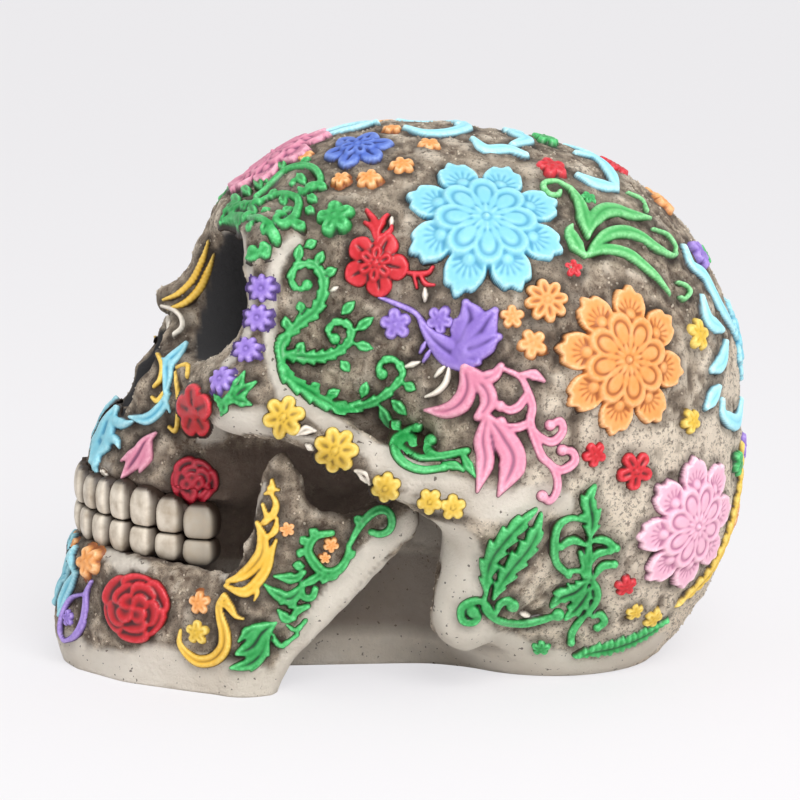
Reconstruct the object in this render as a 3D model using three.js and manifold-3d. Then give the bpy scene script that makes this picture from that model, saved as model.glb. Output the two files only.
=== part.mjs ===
// A cast-resin skull figurine with painted flowers and scrolls in relief, in millimetres.
// Z is up, the face looks along -Y and the skull's left side is +X. It stands on Z = 0.
import * as THREE from "three";
import { mergeVertices } from "three/addons/utils/BufferGeometryUtils.js";
import Module from "manifold-3d";

// Vault of the skull: three lobes that flow into each other
const VAULT_WIDTH = 132;
const VAULT_LENGTH = 140;
const VAULT_HEIGHT = 125;
const VAULT_MIDDLE = [0, 21, 80.5];
const FOREHEAD_WIDTH = 104;
const FOREHEAD_LENGTH = 88;
const FOREHEAD_HEIGHT = 84;
const FOREHEAD_UNDER_BROW = 19;
const NAPE_WIDTH = 110;
const NAPE_LENGTH = 94;
const NAPE_HEIGHT = 100;
const NAPE_MIDDLE = [0, 45, 46];
const LOBE_BLEND = 18;
const TEMPLE_BLEND = 14;
const BASE_BLEND = 18;

// Face
const BROW_THICKNESS = 13;
const BROW_HEIGHT = 120;
const BROW_HALF_SPAN = 42;
const PILLAR_THICKNESS = 10;
const CHEEK_SPREAD = 45;
const CHEEK_HEIGHT = 79;
const CHEEK_SIZE = [26, 24, 20];
const SOCKET_WIDTH = 38;
const SOCKET_HEIGHT = 34;
const SOCKET_DEPTH = 52;
const SOCKET_SPREAD = 26;
const SOCKET_UNDER_BROW = 17;
const NOSE_WIDTH = 25;
const NOSE_HEIGHT = 30;
const NOSE_LEVEL = 82;
const CHEEK_ARCH_HEIGHT = 12;
const BROW_BLEND = 9;
const BONE_BLEND = 7;
const ARCH_BLEND = 10;
const RIM_BLEND = 3;

// Teeth and the arch that they stand on
const ARCH_HALF_WIDTH = 30;
const ARCH_DEPTH = 42;
const ARCH_BACK = -43;
const BITE_FRONT_LEVEL = 44;
const BITE_SLOPE = -0.19;
const BITE_GAP = 0.8;
const TEETH_PER_SIDE = 8;
const TOOTH_THICKNESS = 9;
const TOOTH_ROUNDING = 2.6;
const TOOTH_OVERLAP = 0.2;
const UPPER_TOOTH_HEIGHT = 12.5;
const UPPER_MOLAR_HEIGHT = 9;
const LOWER_TOOTH_HEIGHT = 11;
const LOWER_MOLAR_HEIGHT = 9.5;
const GUM_COVER = 2;

// Lower jaw
const JAW_THICKNESS = 13;
const RAMUS_THICKNESS = 9;
const RAMUS_SPREAD = 44;
const RAMUS_FLARE = 0.1;

// Ornaments
const LARGE_RISE = 3.2;
const SMALL_RISE = 2.2;
const SEAT_GAP = 0.4;
const STRIP_LIFT = 0.2;
const WIDE_STRIP = 4.2;
const CAST_START = 9;
const CAST_DEPTH = 14;
const LOOK_FROM = 120;

// Castings: the gap between two of them, and how far they run below the table before it cuts them flat
const BOND_GAP = 0.5;
const BELOW_TABLE = 6;
const TABLE_SIZE = 400;

// Mesh sizes
const CRANIUM_CELL = 5.6;
const JAW_CELL = 4.8;
const TEETH_CELL = 3.3;
const SKULL_SPACE = [80, -110, 110, -22, 160];
const JAW_SPACE = [64, -106, 20, -14, 80];
const TEETH_SPACE = [42, -100, -30, 15, 72];

const wasm = await Module();
wasm.setup();

// Signed distance fields: negative inside, positive outside

const ellipsoid =
  ([cx, cy, cz], [rx, ry, rz]) =>
  (x, y, z) => {
    const [dx, dy, dz] = [(x - cx) / rx, (y - cy) / ry, (z - cz) / rz];
    const reach = Math.hypot(dx, dy, dz);
    const slope = Math.hypot(dx / rx, dy / ry, dz / rz);
    return slope < 1e-9 ? -Math.min(rx, ry, rz) : (reach * (reach - 1)) / slope;
  };

const bar =
  ([ax, ay, az], [bx, by, bz], startRadius, endRadius) =>
  (x, y, z) => {
    const [dx, dy, dz] = [bx - ax, by - ay, bz - az];
    const along = ((x - ax) * dx + (y - ay) * dy + (z - az) * dz) / (dx * dx + dy * dy + dz * dz);
    const t = Math.min(1, Math.max(0, along));
    const away = Math.hypot(x - ax - t * dx, y - ay - t * dy, z - az - t * dz);
    return away - startRadius - t * (endRadius - startRadius);
  };

const block =
  ([cx, cy, cz], [hx, hy, hz], round) =>
  (x, y, z) => {
    const q = [Math.abs(x - cx) - hx + round, Math.abs(y - cy) - hy + round, Math.abs(z - cz) - hz + round];
    const outside = Math.hypot(...q.map((d) => Math.max(d, 0)));
    return outside + Math.min(Math.max(...q), 0) - round;
  };

const smoothMin = (a, b, blend) => {
  const h = Math.max(blend - Math.abs(a - b), 0) / blend;
  return Math.min(a, b) - (h * h * blend) / 4;
};

const join =
  (blend, ...fields) =>
  (x, y, z) =>
    fields.map((f) => f(x, y, z)).reduce((a, b) => smoothMin(a, b, blend));

const carve =
  (blend, field, ...tools) =>
  (x, y, z) =>
    tools.reduce((d, tool) => -smoothMin(-d, tool(x, y, z), blend), field(x, y, z));

const grow = (field, by) => (x, y, z) => field(x, y, z) - by;

const bothSides = (field) => (x, y, z) => field(Math.abs(x), y, z);

const chain = (points, radii) => {
  const bars = points.slice(1).map((p, i) => bar(points[i], p, radii[i], radii[i + 1]));
  return (x, y, z) => Math.min(...bars.map((f) => f(x, y, z)));
};

const slopeOf = (field, x, y, z) => {
  const e = 0.05;
  const g = [
    field(x + e, y, z) - field(x - e, y, z),
    field(x, y + e, z) - field(x, y - e, z),
    field(x, y, z + e) - field(x, y, z - e),
  ];
  const size = Math.hypot(...g) || 1;
  return g.map((d) => d / size);
};

// Surface nets: one vertex for each sheet of the surface in each grid cell, moved onto the surface
const AXES = [0, 1, 2];
const CELL_CORNERS = [0, 1, 2, 3, 4, 5, 6, 7];
const edgeBetween = (a, b) => Math.min(a, b) * 3 + Math.log2(a ^ b);
const CELL_EDGES = CELL_CORNERS.flatMap((a) =>
  AXES.filter((n) => !(a & (1 << n))).map((n) => [a, a | (1 << n)]),
);
const CELL_FACES = AXES.flatMap((n) =>
  [0, 1 << n].map((side) => {
    const u = 1 << ((n + 1) % 3);
    const w = 1 << ((n + 2) % 3);
    return [side, side | u, side | u | w, side | w];
  }),
);

// The crossed edges of a cell, sorted into the closed loops that the surface draws round it
function loopsOf(inside) {
  const loopOf = new Map();
  for (const [a, b] of CELL_EDGES) if (inside[a] !== inside[b]) loopOf.set(edgeBetween(a, b), [[a, b]]);
  const link = (first, second) => {
    const [one, two] = [loopOf.get(first), loopOf.get(second)];
    if (one === two) return;
    one.push(...two);
    for (const [a, b] of two) loopOf.set(edgeBetween(a, b), one);
  };
  for (const face of CELL_FACES) {
    const sides = face.map((a, i) => [a, face[(i + 1) % 4]]).filter(([a, b]) => inside[a] !== inside[b]);
    if (sides.length === 2) link(edgeBetween(...sides[0]), edgeBetween(...sides[1]));
    if (sides.length !== 4) continue;
    face.forEach((a, i) => {
      if (inside[a]) link(edgeBetween(a, face[(i + 1) % 4]), edgeBetween(a, face[(i + 3) % 4]));
    });
  }
  return new Set(loopOf.values());
}

const RELAX_ROUNDS = 4;

function ontoSurface(field, start, cell) {
  let p = start;
  for (let step = 0; step < 3; step++) {
    const move = Math.max(-cell / 3, Math.min(cell / 3, field(...p)));
    const slope = slopeOf(field, ...p);
    p = p.map((c, n) => c - move * slope[n]);
  }
  return p;
}

// The grid is laid out from the middle plane, so that both sides get the same mesh
function skinOf(field, [halfWidth, front, back, bottom, top], cell) {
  const low = [-Math.ceil(halfWidth / cell) * cell, front, bottom];
  const count = [-low[0], back, top].map((high, n) => Math.ceil((high - low[n]) / cell) + 1);
  const index = (i, j, k) => (i * count[1] + j) * count[2] + k;
  const values = new Float64Array(count[0] * count[1] * count[2]);
  for (let i = 0; i < count[0]; i++)
    for (let j = 0; j < count[1]; j++)
      for (let k = 0; k < count[2]; k++)
        values[index(i, j, k)] = field(low[0] + i * cell, low[1] + j * cell, low[2] + k * cell);

  const bit = (corner, n) => (corner >> n) & 1;
  const vertexOf = new Map();
  const points = [];
  for (let i = 0; i + 1 < count[0]; i++)
    for (let j = 0; j + 1 < count[1]; j++)
      for (let k = 0; k + 1 < count[2]; k++) {
        const v = CELL_CORNERS.map((c) => values[index(i + bit(c, 0), j + bit(c, 1), k + bit(c, 2))]);
        const inside = v.map((d) => d < 0);
        if (inside.every((d) => d === inside[0])) continue;
        for (const loop of loopsOf(inside)) {
          const middle = AXES.map((n) => {
            const crossing = ([a, b]) => bit(a, n) + (v[a] / (v[a] - v[b])) * (bit(b, n) - bit(a, n));
            const sum = loop.reduce((t, edge) => t + crossing(edge), 0);
            return low[n] + ([i, j, k][n] + sum / loop.length) * cell;
          });
          for (const [a, b] of loop) vertexOf.set(index(i, j, k) * 24 + edgeBetween(a, b), points.length);
          points.push(ontoSurface(field, middle, cell));
        }
      }

  const quads = [];
  for (let i = 1; i + 1 < count[0]; i++)
    for (let j = 1; j + 1 < count[1]; j++)
      for (let k = 1; k + 1 < count[2]; k++)
        for (const n of AXES) {
          const here = values[index(i, j, k)] < 0;
          const next = values[index(i + (n === 0), j + (n === 1), k + (n === 2))] < 0;
          if (here === next) continue;
          const vertexIn = (a, b) => {
            const shift = [0, 0, 0];
            shift[(n + 1) % 3] = a;
            shift[(n + 2) % 3] = b;
            const corner = shift[0] | (shift[1] << 1) | (shift[2] << 2);
            const cellIndex = index(i - shift[0], j - shift[1], k - shift[2]);
            return vertexOf.get(cellIndex * 24 + edgeBetween(corner, corner | (1 << n)));
          };
          const ring = [vertexIn(0, 0), vertexIn(1, 0), vertexIn(1, 1), vertexIn(0, 1)];
          quads.push(here ? ring : ring.reverse());
        }

  const neighbours = points.map(() => new Set());
  for (const quad of quads)
    quad.forEach((a, i) => {
      neighbours[a].add(quad[(i + 1) % 4]);
      neighbours[a].add(quad[(i + 3) % 4]);
    });
  for (let round = 0; round < RELAX_ROUNDS; round++) {
    const evened = points.map((p, v) => {
      const around = [...neighbours[v]].map((o) => points[o]);
      return AXES.map((n) => (p[n] + around.reduce((t, q) => t + q[n], 0) / around.length) / 2);
    });
    evened.forEach((p, v) => (points[v] = ontoSurface(field, p, cell)));
  }

  const span = (a, b) => Math.hypot(...points[a].map((c, n) => c - points[b][n]));
  const triangles = quads.flatMap(([p, q, r, s]) =>
    span(p, r) <= span(q, s) ? [p, q, r, p, r, s] : [p, q, s, q, r, s],
  );
  return new THREE.BufferGeometry()
    .setAttribute("position", new THREE.Float32BufferAttribute(points.flat(), 3))
    .setIndex(triangles);
}

// Joins and cuts of closed meshes

function solidOf(geometry) {
  const bare = new THREE.BufferGeometry().setAttribute("position", geometry.getAttribute("position").clone());
  if (geometry.index) bare.setIndex(geometry.index.clone());
  const merged = mergeVertices(bare, 1e-4);
  return new wasm.Manifold(
    new wasm.Mesh({
      numProp: 3,
      vertProperties: new Float32Array(merged.getAttribute("position").array),
      triVerts: new Uint32Array(merged.index.array),
    }),
  );
}

function geometryOf(solid) {
  const mesh = solid.getMesh();
  return new THREE.BufferGeometry()
    .setAttribute("position", new THREE.BufferAttribute(new Float32Array(mesh.vertProperties), 3))
    .setIndex(new THREE.BufferAttribute(new Uint32Array(mesh.triVerts), 1));
}

const tabletop = new THREE.BoxGeometry(TABLE_SIZE, TABLE_SIZE, TABLE_SIZE).translate(0, 0, -TABLE_SIZE / 2);
const table = solidOf(tabletop);
const standing = (geometry) => geometryOf(solidOf(geometry).subtract(table));

// Cranium

const half = (...sizes) => sizes.map((s) => s / 2);

const foreheadMiddle = [0, -8, BROW_HEIGHT - FOREHEAD_UNDER_BROW];
const vault = join(
  LOBE_BLEND,
  ellipsoid(VAULT_MIDDLE, half(VAULT_WIDTH, VAULT_LENGTH, VAULT_HEIGHT)),
  ellipsoid(foreheadMiddle, half(FOREHEAD_WIDTH, FOREHEAD_LENGTH, FOREHEAD_HEIGHT)),
  ellipsoid(NAPE_MIDDLE, half(NAPE_WIDTH, NAPE_LENGTH, NAPE_HEIGHT)),
);

const temple = ellipsoid([76, -16, 97], [22, 30, 30]);
const underArch = ellipsoid([58, -24, 54], [20, 36, 20]);
const underSide = block([70, -32, 8], [40, 44, 44], 16);
const braincase = carve(TEMPLE_BLEND, vault, temple, underArch, underSide);

const browMiddle = [8, -44, BROW_HEIGHT];
const browEnd = [BROW_HALF_SPAN, -37, BROW_HEIGHT - 2];
const cheek = [CHEEK_SPREAD, -44, CHEEK_HEIGHT];
const brow = join(
  BROW_BLEND,
  braincase,
  bar(browMiddle, browEnd, BROW_THICKNESS / 2, BROW_THICKNESS / 2 - 1.5),
  bar(browEnd, [47.5, -42, 88], PILLAR_THICKNESS / 2, PILLAR_THICKNESS / 2),
);
const face = join(
  BONE_BLEND,
  brow,
  ellipsoid(cheek, half(...CHEEK_SIZE)),
  bar([44, -48, 81], [20, -57, 81], 6, 6),
  ellipsoid([0, -48, 69], [30, 32, 24]),
  ellipsoid([0, ARCH_BACK - 4, 56], [ARCH_HALF_WIDTH + 1, ARCH_DEPTH - 5, 14]),
  chain([[0, -48, 112], [0, -52, 104], [0, -63, 97.5]], [6, 5, 4.5]),
  bar([7, -50, 108], [13, -65, 76], 4.5, 5.5),
);

const cheekArch = chain(
  [[46, -44, 79], [57, -31, 74], [61, -21, 69.5], [64, -7, 61], [64, 6, 55], [61, 16, 51]],
  [0, 0, 0, 0, 0.5, 2].map((flare) => CHEEK_ARCH_HEIGHT / 2 + flare),
);
const mastoid = chain([[56, 22, 52], [54, 21, 42], [49, 12, 20]], [13, 11, 9]);
const napeFoot = ellipsoid([0, 38, 13], [38, 32, 20]);

const socketMiddle = [SOCKET_SPREAD, -54, BROW_HEIGHT - SOCKET_UNDER_BROW];
const socket = ellipsoid(socketMiddle, half(SOCKET_WIDTH, SOCKET_DEPTH, SOCKET_HEIGHT));
const noseHole = join(
  4,
  ellipsoid([NOSE_WIDTH / 4, -74, NOSE_LEVEL - 4], [NOSE_WIDTH / 4 + 1, 18, NOSE_HEIGHT / 2 - 4]),
  ellipsoid([0, -70, NOSE_LEVEL + 3], [NOSE_WIDTH / 4, 14, NOSE_HEIGHT / 2 - 5]),
);

const core = block([0, -14, 20], [16, 52, 36], 12);

const whole = join(ARCH_BLEND, join(BASE_BLEND, face, mastoid, napeFoot), cheekArch, core);
const cranium = bothSides(carve(RIM_BLEND, whole, socket, noseHole));

// Lower jaw

function outlineField(points) {
  return (u, v) => {
    let nearest = Infinity;
    let sign = 1;
    points.forEach(([au, av], i) => {
      const [bu, bv] = points[(i + 1) % points.length];
      const [eu, ev] = [bu - au, bv - av];
      const t = Math.min(1, Math.max(0, ((u - au) * eu + (v - av) * ev) / (eu * eu + ev * ev)));
      nearest = Math.min(nearest, Math.hypot(u - au - t * eu, v - av - t * ev));
      if (av > v !== bv > v && u < ((bu - au) * (v - av)) / (bv - av) + au) sign = -sign;
    });
    return sign * nearest;
  };
}

const biteLevel = (y) => BITE_FRONT_LEVEL + (y - ARCH_BACK + ARCH_DEPTH) * BITE_SLOPE;

const jawLine = chain(
  [[0, -84, 0], [13, -82, 0], [26, -72, 0], [37, -56, 0], [43, -46, 0]],
  [0, 0, 0, 0, 0],
);
const jawBody = (x, y, z) => {
  const across = jawLine(x, y, 0) - JAW_THICKNESS / 2;
  const top = biteLevel(y) - LOWER_TOOTH_HEIGHT + GUM_COVER;
  return Math.max(-smoothMin(-across, top - z, 6), -BELOW_TABLE - z);
};
const ramusProfile = outlineField([
  [-46, -BELOW_TABLE], [-40, -BELOW_TABLE], [-33, 7], [-14, 27], [1, 44], [5, 52], [-4, 53], [-12, 51.5],
  [-16, 48], [-24, 48], [-29, 52], [-30, 64], [-37, 66], [-40, 60], [-42, 51], [-44, 40], [-48, 24],
]);
const ramus = (x, y, z) => {
  const flare = RAMUS_SPREAD + z * RAMUS_FLARE;
  return -smoothMin(-ramusProfile(y, z), RAMUS_THICKNESS / 2 - Math.abs(x - flare), 4);
};
const chin = ellipsoid([0, -86, 10], [15, 9, 13]);
const jaw = carve(1, bothSides(join(BONE_BLEND, jawBody, ramus, chin)), grow(cranium, BOND_GAP));

// Teeth

const archPoint = (angle, level) => [
  ARCH_HALF_WIDTH * Math.sin(angle),
  ARCH_BACK - ARCH_DEPTH * Math.cos(angle),
  level,
];

function toothRow(frontHeight, backHeight, direction) {
  const arcs = [];
  const angles = [];
  let walked = 0;
  const fine = 400;
  for (let i = 0; i < fine; i++) {
    const [a, b] = [(i / fine) * (Math.PI / 2), ((i + 1) / fine) * (Math.PI / 2)];
    arcs.push(walked);
    angles.push(a);
    const [pa, pb] = [archPoint(a, 0), archPoint(b, 0)];
    walked += Math.hypot(pa[0] - pb[0], pa[1] - pb[1]);
  }
  const width = walked / TEETH_PER_SIDE;
  const teeth = [];
  for (let n = 0; n < TEETH_PER_SIDE; n++) {
    const angle = angles[arcs.findIndex((d) => d >= width * (n + 0.5))];
    const [x, y] = archPoint(angle, 0);
    const out = Math.atan2(y - ARCH_BACK, x);
    const height = THREE.MathUtils.lerp(frontHeight, backHeight, n / (TEETH_PER_SIDE - 1));
    teeth.push({ x, y, z: biteLevel(y) + (direction * (BITE_GAP + height)) / 2, height, out });
  }
  const crowns = teeth.map(({ x, y, z, height, out }) => {
    const size = half(TOOTH_THICKNESS, width + 2 * TOOTH_OVERLAP, height);
    const crown = block([0, 0, 0], size, TOOTH_ROUNDING);
    const [c, s] = [Math.cos(out), Math.sin(out)];
    return (px, py, pz) => crown((px - x) * c + (py - y) * s, (py - y) * c - (px - x) * s, pz - z);
  });
  return bothSides((x, y, z) => Math.min(...crowns.map((f) => f(x, y, z))));
}

const bedded = (row) => carve(1, row, grow(cranium, BOND_GAP), grow(jaw, BOND_GAP));
const upperTeeth = bedded(toothRow(UPPER_TOOTH_HEIGHT, UPPER_MOLAR_HEIGHT, 1));
const lowerTeeth = bedded(toothRow(LOWER_TOOTH_HEIGHT, LOWER_MOLAR_HEIGHT, -1));

// Seats: a point on a casting with its outward direction, found by looking in from a compass angle

function landing(field, from, along, gap, reach) {
  let travelled = 0;
  for (let step = 0; step < 80; step++) {
    const p = from.map((c, n) => c + along[n] * travelled);
    const d = field(...p) - gap;
    if (Math.abs(d) < 1e-4 || travelled > reach) break;
    travelled += d * 0.8;
  }
  return from.map((c, n) => c + along[n] * Math.min(travelled, reach));
}

function seatOn(field, aim, longitude, latitude, turn = 0) {
  const [lon, lat] = [longitude, latitude].map(THREE.MathUtils.degToRad);
  const out = [Math.cos(lat) * Math.sin(lon), -Math.cos(lat) * Math.cos(lon), Math.sin(lat)];
  const start = aim.map((c, n) => c + out[n] * LOOK_FROM);
  const point = landing(field, start, out.map((c) => -c), SEAT_GAP, LOOK_FROM);
  const normal = new THREE.Vector3(...slopeOf(field, ...point));
  const level = Math.abs(normal.y) > 0.9 ? new THREE.Vector3(1, 0, 0) : new THREE.Vector3(0, 1, 0);
  const right = level.addScaledVector(normal, -level.dot(normal)).normalize();
  right.applyAxisAngle(normal, THREE.MathUtils.degToRad(turn));
  const up = new THREE.Vector3().crossVectors(normal, right);
  return { field, point: new THREE.Vector3(...point), normal, right, up };
}

// A point of an ornament: u to the right and v up on its seat, and a height over the casting below
function lifted({ field, point, normal, right, up }, u, v, height) {
  const over = point.clone().addScaledVector(right, u).addScaledVector(up, v);
  over.addScaledVector(normal, CAST_START);
  const inward = normal.clone().negate().toArray();
  const base = landing(field, over.toArray(), inward, SEAT_GAP, CAST_START + CAST_DEPTH);
  return new THREE.Vector3(...base).addScaledVector(normal, height).toArray();
}

// Ornaments

function closedRings(top, rings, bottom) {
  const count = rings[0].length;
  const points = [top, ...rings.flat(), bottom];
  const last = points.length - 1;
  const at = (ring, i) => 1 + ring * count + (i % count);
  const triangles = [];
  for (let i = 0; i < count; i++) {
    triangles.push(0, at(0, i), at(0, i + 1));
    for (let ring = 0; ring + 1 < rings.length; ring++) {
      triangles.push(at(ring, i), at(ring + 1, i), at(ring + 1, i + 1));
      triangles.push(at(ring, i), at(ring + 1, i + 1), at(ring, i + 1));
    }
    triangles.push(last, at(rings.length - 1, i + 1), at(rings.length - 1, i));
  }
  return new THREE.BufferGeometry()
    .setAttribute("position", new THREE.Float32BufferAttribute(points.flat(), 3))
    .setIndex(triangles);
}

// A flower: the outline runs in and out once per petal, and each ring has its own share of the height
function blossom(seat, { radius, petals, rise, lift, outline, rings, soles }) {
  const count = petals * outline.length;
  const ring = ([share, height]) =>
    Array.from({ length: count }, (_, i) => {
      const angle = (i / count) * 2 * Math.PI;
      const reach = radius * share * (1 + (outline[i % outline.length] - 1) * share);
      return lifted(seat, reach * Math.cos(angle), reach * Math.sin(angle), height * rise);
    });
  const sole = soles.map((share) => [share, lift / rise]);
  return closedRings(lifted(seat, 0, 0, rise), [...rings, ...sole].map(ring), lifted(seat, 0, 0, lift));
}

// A leaf or a stalk: a ridged strip along a curve, with its width at the start, the middle and the end
function strip(seat, rise, path, widths, steps) {
  const curve = new THREE.CatmullRomCurve3(path.map(([u, v]) => new THREE.Vector3(u, v, 0)));
  const sections = [];
  for (let i = 0; i <= steps; i++) {
    const t = i / steps;
    const { x, y } = curve.getPoint(t);
    const side = curve.getTangent(t);
    const [start, middle, end] = widths;
    const width = (1 - t) * (1 - 2 * t) * start + 4 * t * (1 - t) * middle + t * (2 * t - 1) * end;
    const [du, dv] = [(-side.y * width) / 2, (side.x * width) / 2];
    sections.push([
      lifted(seat, x, y, rise),
      lifted(seat, x + du, y + dv, STRIP_LIFT),
      ...(Math.max(...widths) > WIDE_STRIP ? [lifted(seat, x, y, STRIP_LIFT)] : []),
      lifted(seat, x - du, y - dv, STRIP_LIFT),
    ]);
  }
  const size = sections[0].length;
  const triangles = [];
  for (let i = 0; i < steps; i++)
    for (let n = 0; n < size; n++) {
      const [a, b] = [i * size + n, i * size + ((n + 1) % size)];
      triangles.push(a, b + size, b, a, a + size, b + size);
    }
  const end = steps * size;
  for (let n = 1; n + 1 < size; n++) {
    triangles.push(0, n, n + 1);
    triangles.push(end, end + n + 1, end + n);
  }
  return new THREE.BufferGeometry()
    .setAttribute("position", new THREE.Float32BufferAttribute(sections.flat(2), 3))
    .setIndex(triangles);
}

// A spray: strips that run into each other, joined into one body
function spray(seat, rise, strips) {
  const bodies = strips.map(([path, widths, steps]) => solidOf(strip(seat, rise, path, widths, steps)));
  return geometryOf(bodies.reduce((a, b) => a.add(b)));
}

const layered = (radius) => ({
  radius,
  petals: 8,
  rise: LARGE_RISE,
  lift: 0.4,
  outline: [1, 1, 0.74],
  rings: [[0.6, 0.9], [1, 0.5]],
  soles: [1, 0.66, 0.33],
});
const simple = (radius, petals) => ({
  radius,
  petals,
  rise: SMALL_RISE,
  lift: 0.2,
  outline: [1, 0.6],
  rings: [[0.45, 0.9], [1, 0.55]],
  soles: [1, 0.5],
});
const rose = (radius) => ({
  radius,
  petals: 6,
  rise: LARGE_RISE,
  lift: 0,
  outline: [1, 0.92],
  rings: [[0.6, 0.95], [1, 0.45]],
  soles: [1, 0.5],
});

const VAULT_AIM = [0, 15, 75];
const BROW_AIM = [0, 15, BROW_HEIGHT - 45];
const FACE_AIM = [0, -30, 75];
const JAW_AIM = [0, -40, 20];

const onVault = (lon, lat, turn) => seatOn(cranium, VAULT_AIM, lon, lat, turn);
const onBrow = (lon, lat, turn) => seatOn(cranium, BROW_AIM, lon, lat, turn);
const onFace = (lon, lat, turn) => seatOn(cranium, FACE_AIM, lon, lat, turn);
const onArch = (y, z) => seatOn(cranium, [50, y, z], 85, 0);
const onJaw = (lon, lat, turn) => seatOn(jaw, JAW_AIM, lon, lat, turn);

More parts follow.
